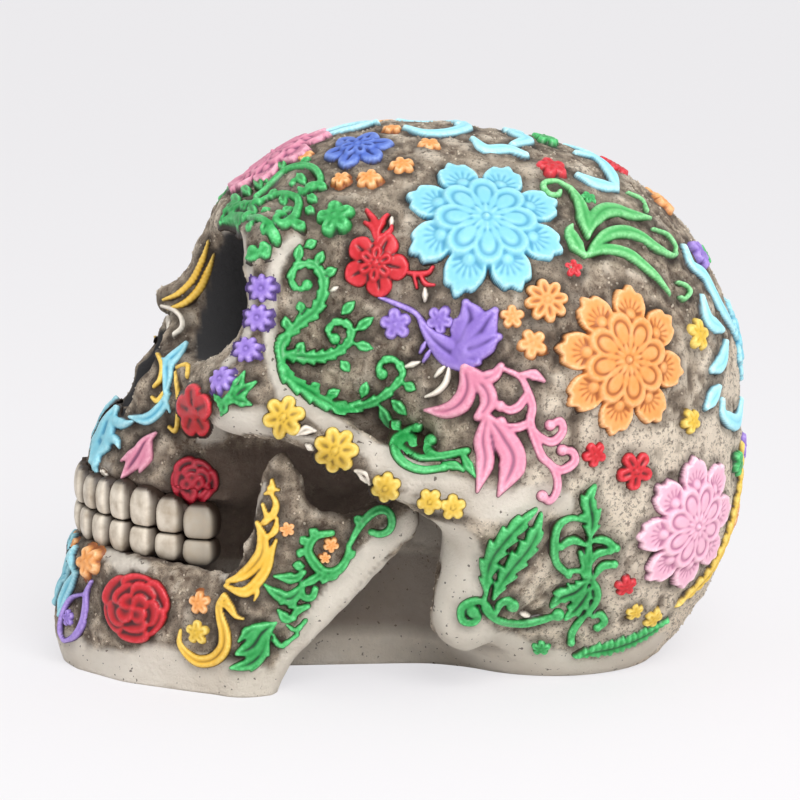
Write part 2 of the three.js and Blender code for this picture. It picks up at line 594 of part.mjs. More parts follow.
const thin = [1.8, 2.4, 1.6];
const ornaments = [
  ["blue_flower", 0x78cdea, blossom(onVault(93, 45), layered(20))],
  ["orange_flower", 0xf0a04f, blossom(onVault(123, 12), layered(18.5))],
  ["pink_flower", 0xe9a3c4, blossom(onVault(142, -24), layered(17.5))],
  ["red_flower", 0xcf2233, blossom(onVault(64, 35), simple(9, 5))],
  ["royal_flower", 0x5a74c4, blossom(onBrow(39, 61), simple(9, 6))],
  ["marigold", 0xe8923c, blossom(onVault(107, 26), simple(6, 8))],
  ["red_star", 0xd63a45, blossom(onVault(125, -11), simple(5, 5))],
  ["jaw_rose", 0xd3202f, blossom(onJaw(44, 1), rose(9.5))],
  ["cheek_rose", 0xa9182a, blossom(onFace(47, -24), rose(6.2))],
  ["cheek_flower", 0xc3202e, blossom(onFace(47, -4), simple(5.5, 5))],
  ["arch_flower_front", 0xeecb3c, blossom(onArch(-33, 74), simple(5, 6))],
  ["arch_flower_rear", 0xeecb3c, blossom(onArch(-19, 68), simple(5.5, 7))],
  [
    "lily",
    0x9a74cf,
    spray(onVault(88, 19), SMALL_RISE, [
      [[[-23, 9], [-15, 6], [-10, 0], [-3, -3], [1, -1]], [1.4, 3, 7], 5],
      [[[0, -2], [-1, 4], [-2, 10]], [6, 6, 1.5], 2],
      [[[0, -2], [4, 3], [7, 7]], [5, 5, 1.5], 2],
      [[[0, -2], [4, 0], [8, 1]], [5, 5, 1.5], 2],
      [[[0, -2], [2, -4], [3, -7]], [5, 5, 1.5], 2],
    ]),
  ],
  [
    "pink_scroll",
    0xdf94ae,
    spray(onVault(98.5, 0), SMALL_RISE, [
      [
        [[-5, 12], [1, 9.5], [3, 3], [2.5, -3], [5, -10], [9, -14], [9.7, -18], [6.5, -20]],
        [2.6, 1.6, 2.2],
        9,
      ],
      [[[-14, 14], [-9.5, 12], [-4.5, 12.3]], [2, 4.5, 2.4], 2],
      [[[-13.5, 13], [-10.5, 6], [-14.5, 0.5], [-20.5, 0]], [3, 6, 1], 4],
      [[[-10.5, 5], [-5.5, -8], [-6, -19]], [3, 13, 1.5], 4],
      [[[2.8, -1], [6.5, -4.7], [10.6, -2.8], [11, 0.5]], [1.6, 2.8, 2], 4],
      [[[5.4, -10], [10.6, -12.5], [13.8, -10.2], [12.5, -7.9]], [1.6, 2.8, 2], 4],
      [[[0.8, 8.6], [-0.6, 4], [-4.5, 3.1]], [1.6, 2.2, 1.6], 3],
    ]),
  ],
  [
    "temple_scroll",
    0x2f9e4e,
    spray(onVault(54.6, 15.8), SMALL_RISE, [
      [
        [[-9, -2], [-7.5, 3.5], [-5.5, 7.5], [-3.7, 11], [-3.3, 16.5], [-6, 20], [-10, 20], [-11, 16.6],
          [-8.2, 15]],
        thin,
        9,
      ],
      [[[-9.5, -2], [-7, -2.4], [-3.7, -3.6], [2, -1.3], [4.4, 2], [3.2, 6], [-0.6, 5.6], [-1, 3]], thin, 8],
      [
        [[-9.5, -1], [-8.5, -7.5], [-7.5, -12.4], [-0.6, -15], [7, -14.5], [14, -11.5], [17.6, -8],
          [16.5, -4.5], [12.6, -4.8]],
        thin,
        13,
      ],
    ]),
  ],
  [
    "brow_scroll",
    0x2b9650,
    spray(onBrow(34, 45), SMALL_RISE, [
      [[[-7, 0], [-4.5, 5], [-1.7, 9], [3, 12], [7.5, 11], [8.5, 7], [5, 4.5]], [3, 3, 1.6], 11],
      [[[-7, 0], [-1.2, 4], [3.2, 2.4], [3.4, -3.5], [0, -6]], [3, 2.4, 1.6], 6],
    ]),
  ],
  [
    "mastoid_leaf",
    0x27a04c,
    spray(onVault(96.8, -31), SMALL_RISE, [
      [[[-5.5, -6], [-2, 2], [3, 9.5], [7.4, 16]], [2, 12, 1.5], 7],
      [[[-5.2, -5], [-3, -12], [3.7, -13.5], [10.6, -12]], [2, 1.8, 1.2], 4],
      [[[-4, -11], [-2, -7.6], [1, -7.4], [1.4, -9.6]], [1.6, 1.8, 2.4], 4],
    ]),
  ],
  [
    "nape_scroll",
    0x27a04c,
    spray(onVault(118, -31.7), SMALL_RISE, [
      [[[0, -6], [-0.3, 5], [0, 9], [-1.2, 13], [-0.5, 18.5], [3, 19.5]], [2.4, 3.6, 1.6], 6],
      [[[-0.5, 9], [-5.3, 10.6], [-8.5, 8], [-9.4, 2.4], [-6.6, -2.7], [0, -5]], [1.6, 1.8, 1.8], 6],
      [[[-0.3, 1], [3, 4], [6.6, 3.8]], [2, 2.8, 1.2], 2],
      [[[0, -5.5], [4, -2], [6.6, -1]], [2, 2.8, 1.2], 2],
      [[[0, -4], [1.2, -9.5], [-3, -9.5], [-9, -12.5]], [2.4, 5, 1.2], 4],
      [[[1.2, -9], [-0.7, -14.5], [-4, -17], [-4.9, -20]], [2, 1.8, 1.2], 3],
    ]),
  ],
  [
    "blade_plant",
    0x46b264,
    spray(onVault(125, 36.5), SMALL_RISE, [
      [[[-3.8, -4.5], [-5.5, 0], [-7.8, 6]], [1.6, 3, 1], 2],
      [[[-3.8, -4.5], [-4.2, 5], [-5.3, 13], [-8.2, 17.5]], [1.6, 2.8, 1], 3],
      [[[-3.8, -4.5], [-1.5, 6], [3, 9.5], [8, 10], [13, 8.3]], [1.6, 4, 1], 4],
      [[[-3.8, -4.5], [2.4, 2], [8, 2.5], [13.5, -1.3], [19.5, -3.4]], [1.6, 3.6, 1], 4],
      [[[-3.8, -4.5], [3.3, -2.5], [9.5, -4.5], [14.5, -8], [17.5, -11]], [1.6, 3.4, 1], 4],
    ]),
  ],
  [
    "crown_scroll",
    0x8fd3e6,
    spray(onVault(139, 72), SMALL_RISE, [
      [[[-7.3, 6], [-5, -2], [-1, -5], [4, -2], [4.5, 4], [2.5, 8]], [1.4, 3, 1.6], 6],
      [[[3, -3], [6, -5], [8, -9]], [2, 2.6, 1.2], 2],
    ]),
  ],
  [
    "back_scroll",
    0x8fd3e6,
    spray(onVault(155, 4), SMALL_RISE, [
      [[[4.2, 9.4], [-2.8, 4.7], [-4.9, -1], [-2.8, -6.6], [3, -10], [8, -7.5]], [2, 4, 2], 6],
      [[[-4, 0], [-8, 2], [-10, 5]], [2.4, 2.4, 1], 2],
    ]),
  ],
  [
    "nose_leaf",
    0x63b7d3,
    spray(onFace(33, 5), SMALL_RISE, [
      [[[4, 7], [1, 3], [-1.5, -3], [-6, -6.5], [-11, -8]], [1.6, 4.5, 1.4], 5],
      [[[-1, -2], [1.6, -4.4], [3.6, -4.4]], [2, 2.6, 1], 2],
    ]),
  ],
  [
    "cheek_leaf",
    0x2c9a4c,
    spray(onFace(74, 6), SMALL_RISE, [
      [[[-5, -3], [0, 0], [2, 5.5]], [1.4, 4.5, 1], 3],
      [[[-1, 0], [3, 1], [6.5, 1.8]], [3, 3.4, 1], 2],
      [[[0, 0.5], [1.5, -2.5], [3.5, -5.5]], [3, 3.4, 1], 2],
    ]),
  ],
  [
    "ramus_scroll",
    0x2a9d4d,
    spray(onJaw(107, 13), SMALL_RISE, [
      [
        [[11.5, 10], [10.5, 12.5], [8, 11.5], [6, 8], [5, 4], [0.4, 0.7], [-2.4, -0.5], [-9, -4.5],
          [-15, -2.7]],
        [2, 2.6, 1.2],
        8,
      ],
      [[[0.6, 10], [-2.4, 9.6], [-4.6, 6.3], [-4, 0.7], [-1.4, -1]], [1.4, 2.4, 1.6], 4],
      [[[-3.4, -1], [-6, -7], [-10, -10.5], [-14, -7]], [2, 4, 1.4], 4],
    ]),
  ],
  [
    "jaw_leaf",
    0x2fae55,
    spray(onJaw(88, -6), SMALL_RISE, [
      [[[-8, -4], [-3, -3.5], [0, 1.5], [5, 5]], [1.2, 5.5, 1.4], 4],
      [[[0.5, 1.5], [4, -0.5], [5.5, -3]], [2, 2.6, 1], 2],
    ]),
  ],
  [
    "ramus_tendril",
    0xe3b73a,
    spray(onJaw(90, 23), SMALL_RISE, [
      [[[-6.5, -13.5], [-1, -8.5], [1.2, -1.3], [-1, 5]], [1.4, 5, 1.6], 4],
      [[[-1, 4], [2.5, 7.3], [3.6, 11], [0.8, 12.4]], [1.6, 2, 1.4], 4],
    ]),
  ],
  [
    "jaw_scroll",
    0xe6bf45,
    spray(onJaw(71.5, -2), SMALL_RISE, [
      [
        [[-5.6, 0.7], [-6, -4.4], [-2, -8], [2.6, -6.7], [4.4, -1.6], [3.5, 4.8], [5.3, 8]],
        [1.4, 3.2, 1.4],
        6,
      ],
      [[[3.8, 3.6], [6.6, 2], [9, 2.4]], [2, 2.2, 0.8], 2],
    ]),
  ],
];

const midline = [
  ["forehead_flower", 0xdc93ab, blossom(onBrow(0, 52), layered(16))],
  [
    "chin_leaf",
    0x66b5d6,
    spray(onJaw(0, 2), SMALL_RISE, [
      [[[0, -9], [0, 0], [0, 11]], [2, 7, 1.4], 4],
      [[[0, -3], [5, 0], [6.5, 5], [3.8, 7]], [2, 2.4, 1.4], 4],
      [[[0, -3], [-5, 0], [-6.5, 5], [-3.8, 7]], [2, 2.4, 1.4], 4],
    ]),
  ],
];

// Assembly

const painted = (color) => new THREE.MeshStandardMaterial({ color, roughness: 0.6, metalness: 0 });
const bareResin = new THREE.MeshStandardMaterial({ color: 0xa79a8c, roughness: 0.85, metalness: 0 });
const ivory = new THREE.MeshStandardMaterial({ color: 0xd8cfbd, roughness: 0.6, metalness: 0 });
const named = (name, geometry, material) => {
  const mesh = new THREE.Mesh(geometry, material);
  mesh.name = name;
  return mesh;
};

const figurine = new THREE.Group();
figurine.add(named("cranium", standing(skinOf(cranium, SKULL_SPACE, CRANIUM_CELL)), bareResin));
figurine.add(named("jaw", standing(skinOf(jaw, JAW_SPACE, JAW_CELL)), bareResin));
figurine.add(named("upper_teeth", skinOf(upperTeeth, TEETH_SPACE, TEETH_CELL), ivory));
figurine.add(named("lower_teeth", skinOf(lowerTeeth, TEETH_SPACE, TEETH_CELL), ivory));

const rightSide = new THREE.Group();
rightSide.scale.x = -1;
figurine.add(rightSide);
for (const [name, color, geometry] of ornaments) {
  figurine.add(named(`left_${name}`, geometry, painted(color)));
  rightSide.add(named(`right_${name}`, geometry, painted(color)));
}
for (const [name, color, geometry] of midline) figurine.add(named(name, geometry, painted(color)));

// The origin goes to the middle of the footprint, on the table
const extent = new THREE.Box3().setFromObject(figurine);
figurine.position.y = -(extent.min.y + extent.max.y) / 2;

export default figurine;
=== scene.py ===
import math
from types import SimpleNamespace

import bmesh
import bpy
import numpy as np
from mathutils import Matrix, Vector
from mathutils.bvhtree import BVHTree
from mathutils.kdtree import KDTree


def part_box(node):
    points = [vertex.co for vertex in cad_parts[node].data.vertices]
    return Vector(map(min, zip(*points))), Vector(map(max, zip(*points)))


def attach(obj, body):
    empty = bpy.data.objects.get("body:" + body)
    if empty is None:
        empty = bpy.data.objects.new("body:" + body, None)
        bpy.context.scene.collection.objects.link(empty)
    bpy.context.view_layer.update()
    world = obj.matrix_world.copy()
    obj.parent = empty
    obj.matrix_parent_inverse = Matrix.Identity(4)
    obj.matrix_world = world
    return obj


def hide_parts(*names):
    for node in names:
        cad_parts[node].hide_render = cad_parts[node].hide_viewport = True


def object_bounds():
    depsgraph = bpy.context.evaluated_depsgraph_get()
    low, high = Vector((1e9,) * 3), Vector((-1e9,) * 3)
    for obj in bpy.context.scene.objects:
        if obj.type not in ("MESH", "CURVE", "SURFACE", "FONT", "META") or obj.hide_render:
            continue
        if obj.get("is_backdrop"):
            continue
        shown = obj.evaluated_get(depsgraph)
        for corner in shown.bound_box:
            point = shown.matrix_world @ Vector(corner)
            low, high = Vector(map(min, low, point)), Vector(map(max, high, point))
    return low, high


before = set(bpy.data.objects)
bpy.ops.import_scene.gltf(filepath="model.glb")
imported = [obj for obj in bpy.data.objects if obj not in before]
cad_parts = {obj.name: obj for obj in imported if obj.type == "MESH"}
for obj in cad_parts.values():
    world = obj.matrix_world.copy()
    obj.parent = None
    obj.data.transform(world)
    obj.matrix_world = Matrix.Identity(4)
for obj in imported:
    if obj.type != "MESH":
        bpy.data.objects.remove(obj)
cad_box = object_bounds()

# Camera
# The photograph looks at the skull's left side from a little in front and a little above, through a
# long lens. A pixel of the 800 by 800 photograph is followed back to the skull along this view.
MM = 0.001
PHOTO_SIZE = 800
SENSOR_WIDTH = 36
VIEW_AZIMUTH = math.radians(85)
VIEW_ELEVATION = math.radians(9)
VIEW_DISTANCE = 900
VIEW_WIDTH = 219
VIEW_CENTRE = Vector((0, 2, 70))

toward_camera = Vector((
    math.sin(VIEW_AZIMUTH) * math.cos(VIEW_ELEVATION),
    -math.cos(VIEW_AZIMUTH) * math.cos(VIEW_ELEVATION),
    math.sin(VIEW_ELEVATION),
))
eye = VIEW_CENTRE + toward_camera * VIEW_DISTANCE
facing = toward_camera.to_track_quat("Z", "Y")
image_right = facing @ Vector((1, 0, 0))
image_up = facing @ Vector((0, 1, 0))

photo_camera = bpy.data.objects.new("photo_camera", bpy.data.cameras.new("photo_camera"))
photo_camera.data.sensor_width = SENSOR_WIDTH
photo_camera.data.lens = SENSOR_WIDTH * VIEW_DISTANCE / VIEW_WIDTH
photo_camera.location = eye * MM
photo_camera.rotation_mode = "QUATERNION"
photo_camera.rotation_quaternion = facing
bpy.context.scene.collection.objects.link(photo_camera)
bpy.context.scene.camera = photo_camera


def sight_line(px, py):
    """The direction from the camera through a pixel of the photograph."""
    across = (px / PHOTO_SIZE - 0.5) * VIEW_WIDTH
    upward = (0.5 - py / PHOTO_SIZE) * VIEW_WIDTH
    return (VIEW_CENTRE + image_right * across + image_up * upward - eye).normalized()


# Cranium
# The main casting: rough grey-brown resin with the vault, sockets, cheek arches and the core that
# it stands on. It comes out of the mould in one piece, and its smooth edges are rubbed bone white.
SUBDIVISIONS = 2
WELD = 0.001
ARCH_HALF_WIDTH = 30
ARCH_DEPTH = 42
ARCH_BACK = -41
BITE_FRONT = 44
BITE_SLOPE = -0.19
UPPER_GUM = 8.0
GUM_PROUD = 1.06
GUM_LEAN = 0.0125
GUM_TOP = 27
SHADE_RAYS = 40
SHADE_START = 0.6
SHADE_REACH = 45
JOIN_BEND = 40
JOIN_SKEW = 60


def welded(node):
    """A node's triangles joined into one closed mesh, in millimetres."""
    body = bmesh.new()
    body.from_mesh(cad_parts[node].data)
    bmesh.ops.scale(body, vec=Vector((1, 1, 1)) / MM, verts=body.verts)
    bmesh.ops.remove_doubles(body, verts=body.verts, dist=WELD)
    body.normal_update()
    return body


def link_piece(name, mesh):
    piece = bpy.data.objects.new(name, mesh)
    bpy.context.scene.collection.objects.link(piece)
    return piece


def plain_mesh(piece):
    """The piece's mesh with its modifiers worked in, and the modifiers gone."""
    evaluated = piece.evaluated_get(bpy.context.evaluated_depsgraph_get())
    mesh = bpy.data.meshes.new_from_object(evaluated)
    piece.modifiers.clear()
    piece.data = mesh
    return mesh


def numbers(mesh, what):
    values = np.empty(len(mesh.vertices) * 3, np.float32)
    mesh.vertices.foreach_get(what, values)
    return values.reshape(-1, 3).astype(float)


def set_attribute(mesh, name, values):
    if name not in mesh.attributes:
        mesh.attributes.new(name, "FLOAT", "POINT")
    mesh.attributes[name].data.foreach_set("value", np.asarray(values, np.float32))


def smooth(share):
    """A share from 0 to 1 eased at both ends."""
    share = np.clip(share, 0, 1)
    return share * share * (3 - 2 * share)


def folded(points):
    """Points with those of the right side laid over the left."""
    return np.column_stack((np.abs(points[:, 0]), points[:, 1:]))


solids = [welded(node) for node in ("cranium", "jaw", "upper_teeth", "lower_teeth")]
solid_trees = [BVHTree.FromBMesh(solid) for solid in solids]


def hidden_share(vertex):
    """How much of the sky over a vertex the castings hide, from 0 to 1."""
    hits = 0
    start = vertex.co + vertex.normal * SHADE_START
    for ray in range(SHADE_RAYS):
        height = 1 - (ray + 0.5) / SHADE_RAYS
        turn = ray * math.pi * (3 - math.sqrt(5))
        level = math.sqrt(1 - height * height)
        spread = Vector((level * math.cos(turn), level * math.sin(turn), height))
        ray_out = vertex.normal.to_track_quat("Z", "Y") @ spread
        hits += any(tree.ray_cast(start, ray_out, SHADE_REACH)[0] for tree in solid_trees)
    return hits / SHADE_RAYS


def above_bite(points):
    """How high points lie over the bite, which climbs toward the front teeth."""
    return points[:, 2] - BITE_FRONT - BITE_SLOPE * (points[:, 1] - ARCH_BACK + ARCH_DEPTH)


def among_teeth(points):
    """1 along the dental arch, fading to 0 behind it."""
    return smooth((ARCH_BACK + 2 - points[:, 1]) / 8)


def upper_gum(points):
    """The bone over the upper teeth brought out to cover their necks."""
    lift = above_bite(points)
    out = points[:, :2] - [0, ARCH_BACK]
    around = np.maximum(np.hypot(out[:, 0] / ARCH_HALF_WIDTH, out[:, 1] / ARCH_DEPTH), 0.1)
    wanted = GUM_PROUD - GUM_LEAN * (lift - UPPER_GUM)
    share = smooth((lift - UPPER_GUM) / 4) * smooth((GUM_TOP - lift) / 8) * among_teeth(points)
    points[:, :2] += out * (np.maximum(wanted - around, 0) * share / around)[:, None]
    return points


def casting(name, body, reshape):
    """A fine smooth mesh of a casting in millimetres, with its points, normals and a tree to cast onto."""
    shade = body.verts.layers.float.new("recess_wash_and_shade")
    crease = body.edges.layers.float.new("crease_edge")
    # Each vertex keeps the sky the castings hide, to paint shade into the recesses over their wash
    for vertex in body.verts:
        vertex[shade] = hidden_share(vertex)
    for edge in body.edges:
        on_table = [face.normal.z < -0.99 and face.calc_center_median().z < 0.1 for face in edge.link_faces]
        edge[crease] = float(any(on_table) and not all(on_table))
    bmesh.ops.join_triangles(
        body, faces=body.faces[:],
        angle_face_threshold=math.radians(JOIN_BEND), angle_shape_threshold=math.radians(JOIN_SKEW),
    )
    mesh = bpy.data.meshes.new(name)
    body.to_mesh(mesh)
    piece = link_piece(name, mesh)
    rounding = piece.modifiers.new("Smooth rounds", "SUBSURF")
    rounding.levels = rounding.render_levels = SUBDIVISIONS
    mesh = plain_mesh(piece)
    points = reshape(numbers(mesh, "co"))
    mesh.vertices.foreach_set("co", points.astype(np.float32).ravel())
    mesh.update()
    polygons = [tuple(face.vertices) for face in mesh.polygons]
    recess_wash_and_shade = np.empty(len(points), np.float32)
    mesh.attributes["recess_wash_and_shade"].data.foreach_get("value", recess_wash_and_shade)
    tree = BVHTree.FromPolygons([Vector(p) for p in points], polygons)
    return SimpleNamespace(
        piece=piece, mesh=mesh, points=points, normals=numbers(mesh, "normal"), recess_wash_and_shade=recess_wash_and_shade, tree=tree
    )


cranium = casting("cranium_casting", solids[0], upper_gum)


def on_surface(carrier, px, py):
    """The point of a casting, in millimetres, that a pixel of the photograph shows."""
    direction = sight_line(px, py)
    hit = carrier.tree.ray_cast(eye, direction)[0]
    if hit is None:
        near = eye + direction * (VIEW_CENTRE - eye).dot(direction)
        hit = carrier.tree.find_nearest(near)[0]
    return hit


def beside(carrier, pixels, reach, fade):
    """1 within reach of a line of pixels, and of its mirror image, fading to 0 over the fade, in mm."""
    line = np.array([on_surface(carrier, px, py) for px, py in pixels])
    place = folded(carrier.points)
    away = np.full(len(place), np.inf)
    for start, end in zip(line[:-1], line[1:]):
        run = end - start
        along_run = np.clip((place - start) @ run / max(run @ run, 1e-9), 0, 1)
        away = np.minimum(away, np.linalg.norm(place - start - along_run[:, None] * run, axis=1))
    return smooth(1 - (away - reach) / fade)


# Places of the photograph that are left smooth and bone white: pixels, reach and fade in millimetres
CRANIUM_BONE = [
    ([(296, 240), (281, 252), (273, 275), (269, 310), (271, 350), (278, 380), (288, 397)], 1.0, 1.5),
    ([(284, 396), (310, 409), (345, 434), (385, 459)], 2.0, 1.0),
    ([(385, 459), (430, 484), (480, 502), (530, 508)], 3.6, 1.6),
    ([(208, 428), (240, 431), (290, 433), (318, 446), (343, 463), (372, 482), (392, 494), (440, 508)],
     1.3, 0.7),
    ([(210, 430), (234, 423), (264, 424)], 3.6, 1.4),
    ([(230, 234), (244, 240), (249, 265), (251, 290), (249, 322), (243, 343), (226, 364)], 0.9, 1.2),
    ([(232, 236), (244, 246)], 2.0, 1.6),
    ([(424, 520), (452, 540), (458, 580), (450, 622), (470, 645)], 7.0, 2.0),
    ([(470, 640), (520, 652), (560, 662)], 3.6, 2.0),
    ([(465, 655), (500, 668), (560, 672), (610, 666), (650, 648)], 5.0, 1.6),
    ([(520, 500), (545, 495), (565, 505)], 2.4, 1.6),
    ([(105, 470), (128, 486), (150, 490)], 1.6, 1.0),
]

# The core that carries the skull is nearly bone white too, held short of full bone white as painted shade,
# and darkened further with painted shade under the cheek arches
CORE_HALF_WIDTH = 44
CORE_TOP = 40
CORE_FRONT = -60
CORE_REAR = 52
CORE_BONE = 0.85
CORE_SHADE = 0.72
place = folded(cranium.points)
core = smooth((CORE_HALF_WIDTH - place[:, 0]) / 5) * smooth((CORE_TOP - place[:, 2]) / 8)
core *= smooth((place[:, 1] - CORE_FRONT) / 8) * smooth((CORE_REAR - place[:, 1]) / 10)
cranium.bone = CORE_BONE * core
for pixels, reach, fade in CRANIUM_BONE:
    cranium.bone = np.maximum(cranium.bone, beside(cranium, pixels, reach, fade))

# The insides of the sockets and the nose are painted charcoal, up to the sides of the nasal bones, and
# the hollow behind the teeth and the downward faces there are nearly as dark with painted shade
SOCKET_MIDDLE = np.array((26, -52, 103))
SOCKET_HALF = np.array((19, 26, 17))
NOSE_MIDDLE = np.array((6.2, -72, 79))
NOSE_HALF = np.array((7.6, 18, 12))
NASAL_EDGE = ((216, 240), (192, 345))
HOLLOW = ((196, 376), (436, 562))
HOLLOW_DEEP = 46
HOLLOW_SHADE = 0.84
in_socket = np.linalg.norm((place - SOCKET_MIDDLE) / SOCKET_HALF, axis=1)
in_nose = np.linalg.norm((place - NOSE_MIDDLE) / NOSE_HALF, axis=1)
offset = place - np.array(eye)
scale = PHOTO_SIZE / VIEW_WIDTH * VIEW_DISTANCE / -(offset @ np.array(toward_camera))
px = PHOTO_SIZE / 2 + scale * (offset @ np.array(image_right))
py = PHOTO_SIZE / 2 - scale * (offset @ np.array(image_up))
(top_x, top_y), (low_x, low_y) = NASAL_EDGE
past_nose = px - np.interp(py, (top_y, low_y), (top_x, low_x))
in_shade = smooth((1.06 - in_socket) / 0.05) * smooth(past_nose / 4)
cranium.charcoal = np.maximum(in_shade, smooth((1.12 - in_nose) / 0.08))
# painted shade on the deep inner walls and the downward faces behind the teeth, which lose their bone white
# too
hollow = np.maximum(smooth((HOLLOW_DEEP - place[:, 0]) / 4), smooth(-0.1 - cranium.normals[:, 2] / 0.4))
for seen_at, (low, high) in zip((px, py), HOLLOW):
    hollow *= smooth((seen_at - low) / 14) * smooth((high - seen_at) / 6)
# painted shade on the core, deepest high up under the cheek arches
under_arch = CORE_SHADE * core * smooth((place[:, 2] - 1) / 12)
cranium.recess_wash_and_shade = np.maximum.reduce([cranium.recess_wash_and_shade, HOLLOW_SHADE * hollow, under_arch])
cranium.bone *= 1 - hollow


# Lower jaw
# A second casting of the same resin, bonded under the cheeks. Its lower edge and the lips of its two
# rami are rubbed smooth and bone white.
LOWER_GUM = 14
FRONT_GUM_RISE = 0.8
REAR_GUM_RISE = 2.6
JAW_BASE = 9
LIP_TOP = 38


def lower_gum(points):
    """The jaw's upper edge raised against the necks of the teeth, more under the molars."""
    rearward = (points[:, 1] - ARCH_BACK + ARCH_DEPTH) / ARCH_DEPTH
    raised = FRONT_GUM_RISE + (REAR_GUM_RISE - FRONT_GUM_RISE) * np.clip(rearward, 0, 1)
    points[:, 2] += raised * smooth((above_bite(points) + LOWER_GUM) / 5) * among_teeth(points)
    return points


jaw = casting("jaw_casting", solids[1], lower_gum)
JAW_BONE = [
    ([(62, 655), (80, 666), (140, 670), (200, 674), (250, 680), (285, 684)], 4.4, 1.6),
    ([(276, 688), (300, 642), (320, 614), (340, 588), (364, 562), (390, 538), (416, 522)], 3.0, 1.0),
    ([(225, 577), (243, 545), (256, 512), (264, 486)], 0.6, 0.7),
    ([(150, 660), (190, 668), (215, 672)], 3.6, 1.6),
    ([(100, 548), (118, 556), (124, 566)], 1.8, 1.4),
    ([(128, 560), (144, 567)], 1.2, 1.2),
]
rear_lip = smooth((jaw.normals[:, 1] - 0.2) / 0.3) * smooth((LIP_TOP - jaw.points[:, 2]) / 4)
jaw.bone = np.maximum(smooth((JAW_BASE - jaw.points[:, 2]) / 4), rear_lip)
for pixels, reach, fade in JAW_BONE:
    jaw.bone = np.maximum(jaw.bone, beside(jaw, pixels, reach, fade))
jaw.charcoal = np.zeros(len(jaw.points))
carriers = {"cranium": cranium, "jaw": jaw}
footprints = {name: [] for name in carriers}


# Teeth
# Two rows of fourteen teeth, cast with their beds and painted ivory. Each tooth is one long crown with a
# flat front and a narrow neck, and a brown wash fills the lines between them. Painted shade darkens the
# back half of each crown, joins the wash toward its neck and darkens the rear teeth.
UPPER_WIDTHS = [8.6, 6.3, 4.9, 6.2, 7.5, 7.0, 8.4]
LOWER_WIDTHS = [6.1, 6.6, 6.8, 6.3, 7.2, 7.3, 8.4]
UPPER_HEIGHTS = [10.2, 9.8, 10.2, 11.0, 11.0, 10.2, 9.8]
LOWER_HEIGHTS = [9.0, 9.6, 9.8, 9.2, 8.4, 7.8, 7.4]
TOOTH_THICKNESS = 8.8
TOOTH_OVERLAP = 1.07
BITE_GAP = 0.3
GUM_LINE = 0.56, 0.5


def linear(colour):
    """An sRGB hex colour as the linear colour that shaders take."""
    parts = [int(colour[i:i + 2], 16) / 255 for i in (0, 2, 4)]
    return [c / 12.92 if c <= 0.04045 else ((c + 0.055) / 1.055) ** 2.4 for c in parts] + [1]


def add(tree, kind, links=(), **settings):
    """A new node with its settings, and its inputs set or linked."""
    made = tree.nodes.new(kind)
    for name, value in settings.items():
        setattr(made, name, value)
    for socket, source in dict(links).items():
        if isinstance(source, bpy.types.NodeSocket):
            tree.links.new(source, made.inputs[socket])
        else:
            made.inputs[socket].default_value = source
    return made


def blank_material(name, roughness):
    material = bpy.data.materials.new(name)
    material.use_nodes = True
    shader = material.node_tree.nodes["Principled BSDF"]
    shader.inputs["Roughness"].default_value = roughness
    shader.inputs["IOR"].default_value = 1.48
    return material, material.node_tree, shader


MIX_A, MIX_B, MIX_RESULT = 6, 7, 2


def coloured(tree, colour, layers):
    """A colour with layers over it, each where a number goes from low to high, up to its strength."""
    for number, low, high, strength, over in layers:
        share = add(tree, "ShaderNodeMapRange", {"Value": number, 1: low, 2: high, 3: 0, 4: strength})
        laid = add(tree, "ShaderNodeMix", {
            "Factor": share.outputs["Result"], MIX_A: colour, MIX_B: over,
        }, data_type="RGBA")
        colour = laid.outputs[MIX_RESULT]
    return colour


def ivory_paint():
    """Satin ivory paint, brown wash in the gaps and at the gums, and painted shade on the rear teeth."""
    material, tree, shader = blank_material("ivory paint with brown wash and painted shade", 0.5)
    place = add(tree, "ShaderNodeTexCoord").outputs["Object"]
    gap = add(tree, "ShaderNodeAttribute", attribute_name="wash").outputs["Fac"]
    stain = add(tree, "ShaderNodeTexNoise", {"Vector": place, "Scale": 1 / (4 * MM), "Detail": 5})
    rearward = add(tree, "ShaderNodeSeparateXYZ", {"Vector": place}).outputs["Y"]
    body = coloured(tree, linear("dcd2c2"), [
        # painted shade: the rear teeth darken toward the back of the mouth
        (rearward, -66 * MM, -53 * MM, 0.65, linear("6e6354")),
        (stain.outputs["Fac"], 0.4, 0.72, 1, linear("a99b88")),
        (gap, 0, 1, 1, linear("2f2219")),
    ])
    tree.links.new(body, shader.inputs["Base Color"])
    return material


def node_tool(name, inputs, result):
    """A new Geometry Nodes tree with named inputs and one result, and the sockets that give the inputs."""
    tree = bpy.data.node_groups.new(name, "GeometryNodeTree")
    for socket, kind in inputs.items():
        tree.interface.new_socket(socket, in_out="INPUT", socket_type=f"NodeSocket{kind}")
    tree.interface.new_socket(result, in_out="OUTPUT", socket_type="NodeSocketGeometry")
    return tree, add(tree, "NodeGroupInput").outputs


def painted_copies(tree, points, shape, turn, size, coat):
    """The end of a tree: copies of a shape on points, made real and painted."""
    copied = add(tree, "GeometryNodeObjectInfo", {"Object": shape})
    rotation = add(tree, "FunctionNodeEulerToRotation", {0: turn})
    placed = add(tree, "GeometryNodeInstanceOnPoints", {
        "Points": points,
        "Instance": copied.outputs["Geometry"],
        "Rotation": rotation.outputs[0],
        "Scale": size,
    })
    real = add(tree, "GeometryNodeRealizeInstances", {"Geometry": placed.outputs["Instances"]})
    painted = add(tree, "GeometryNodeSetMaterial", {"Geometry": real.outputs["Geometry"], "Material": coat})
    add(tree, "NodeGroupOutput", {0: painted.outputs["Geometry"]})


def run_tree(piece, tree, values):
    """A tree run on a piece with its named inputs, and the piece's mesh made plain."""
    running = piece.modifiers.new(tree.name, "NODES")
    running.node_group = tree
    sockets = {item.name: item.identifier for item in tree.interface.items_tree}
    for name, value in values.items():
        running[sockets[name]] = value
    return plain_mesh(piece)


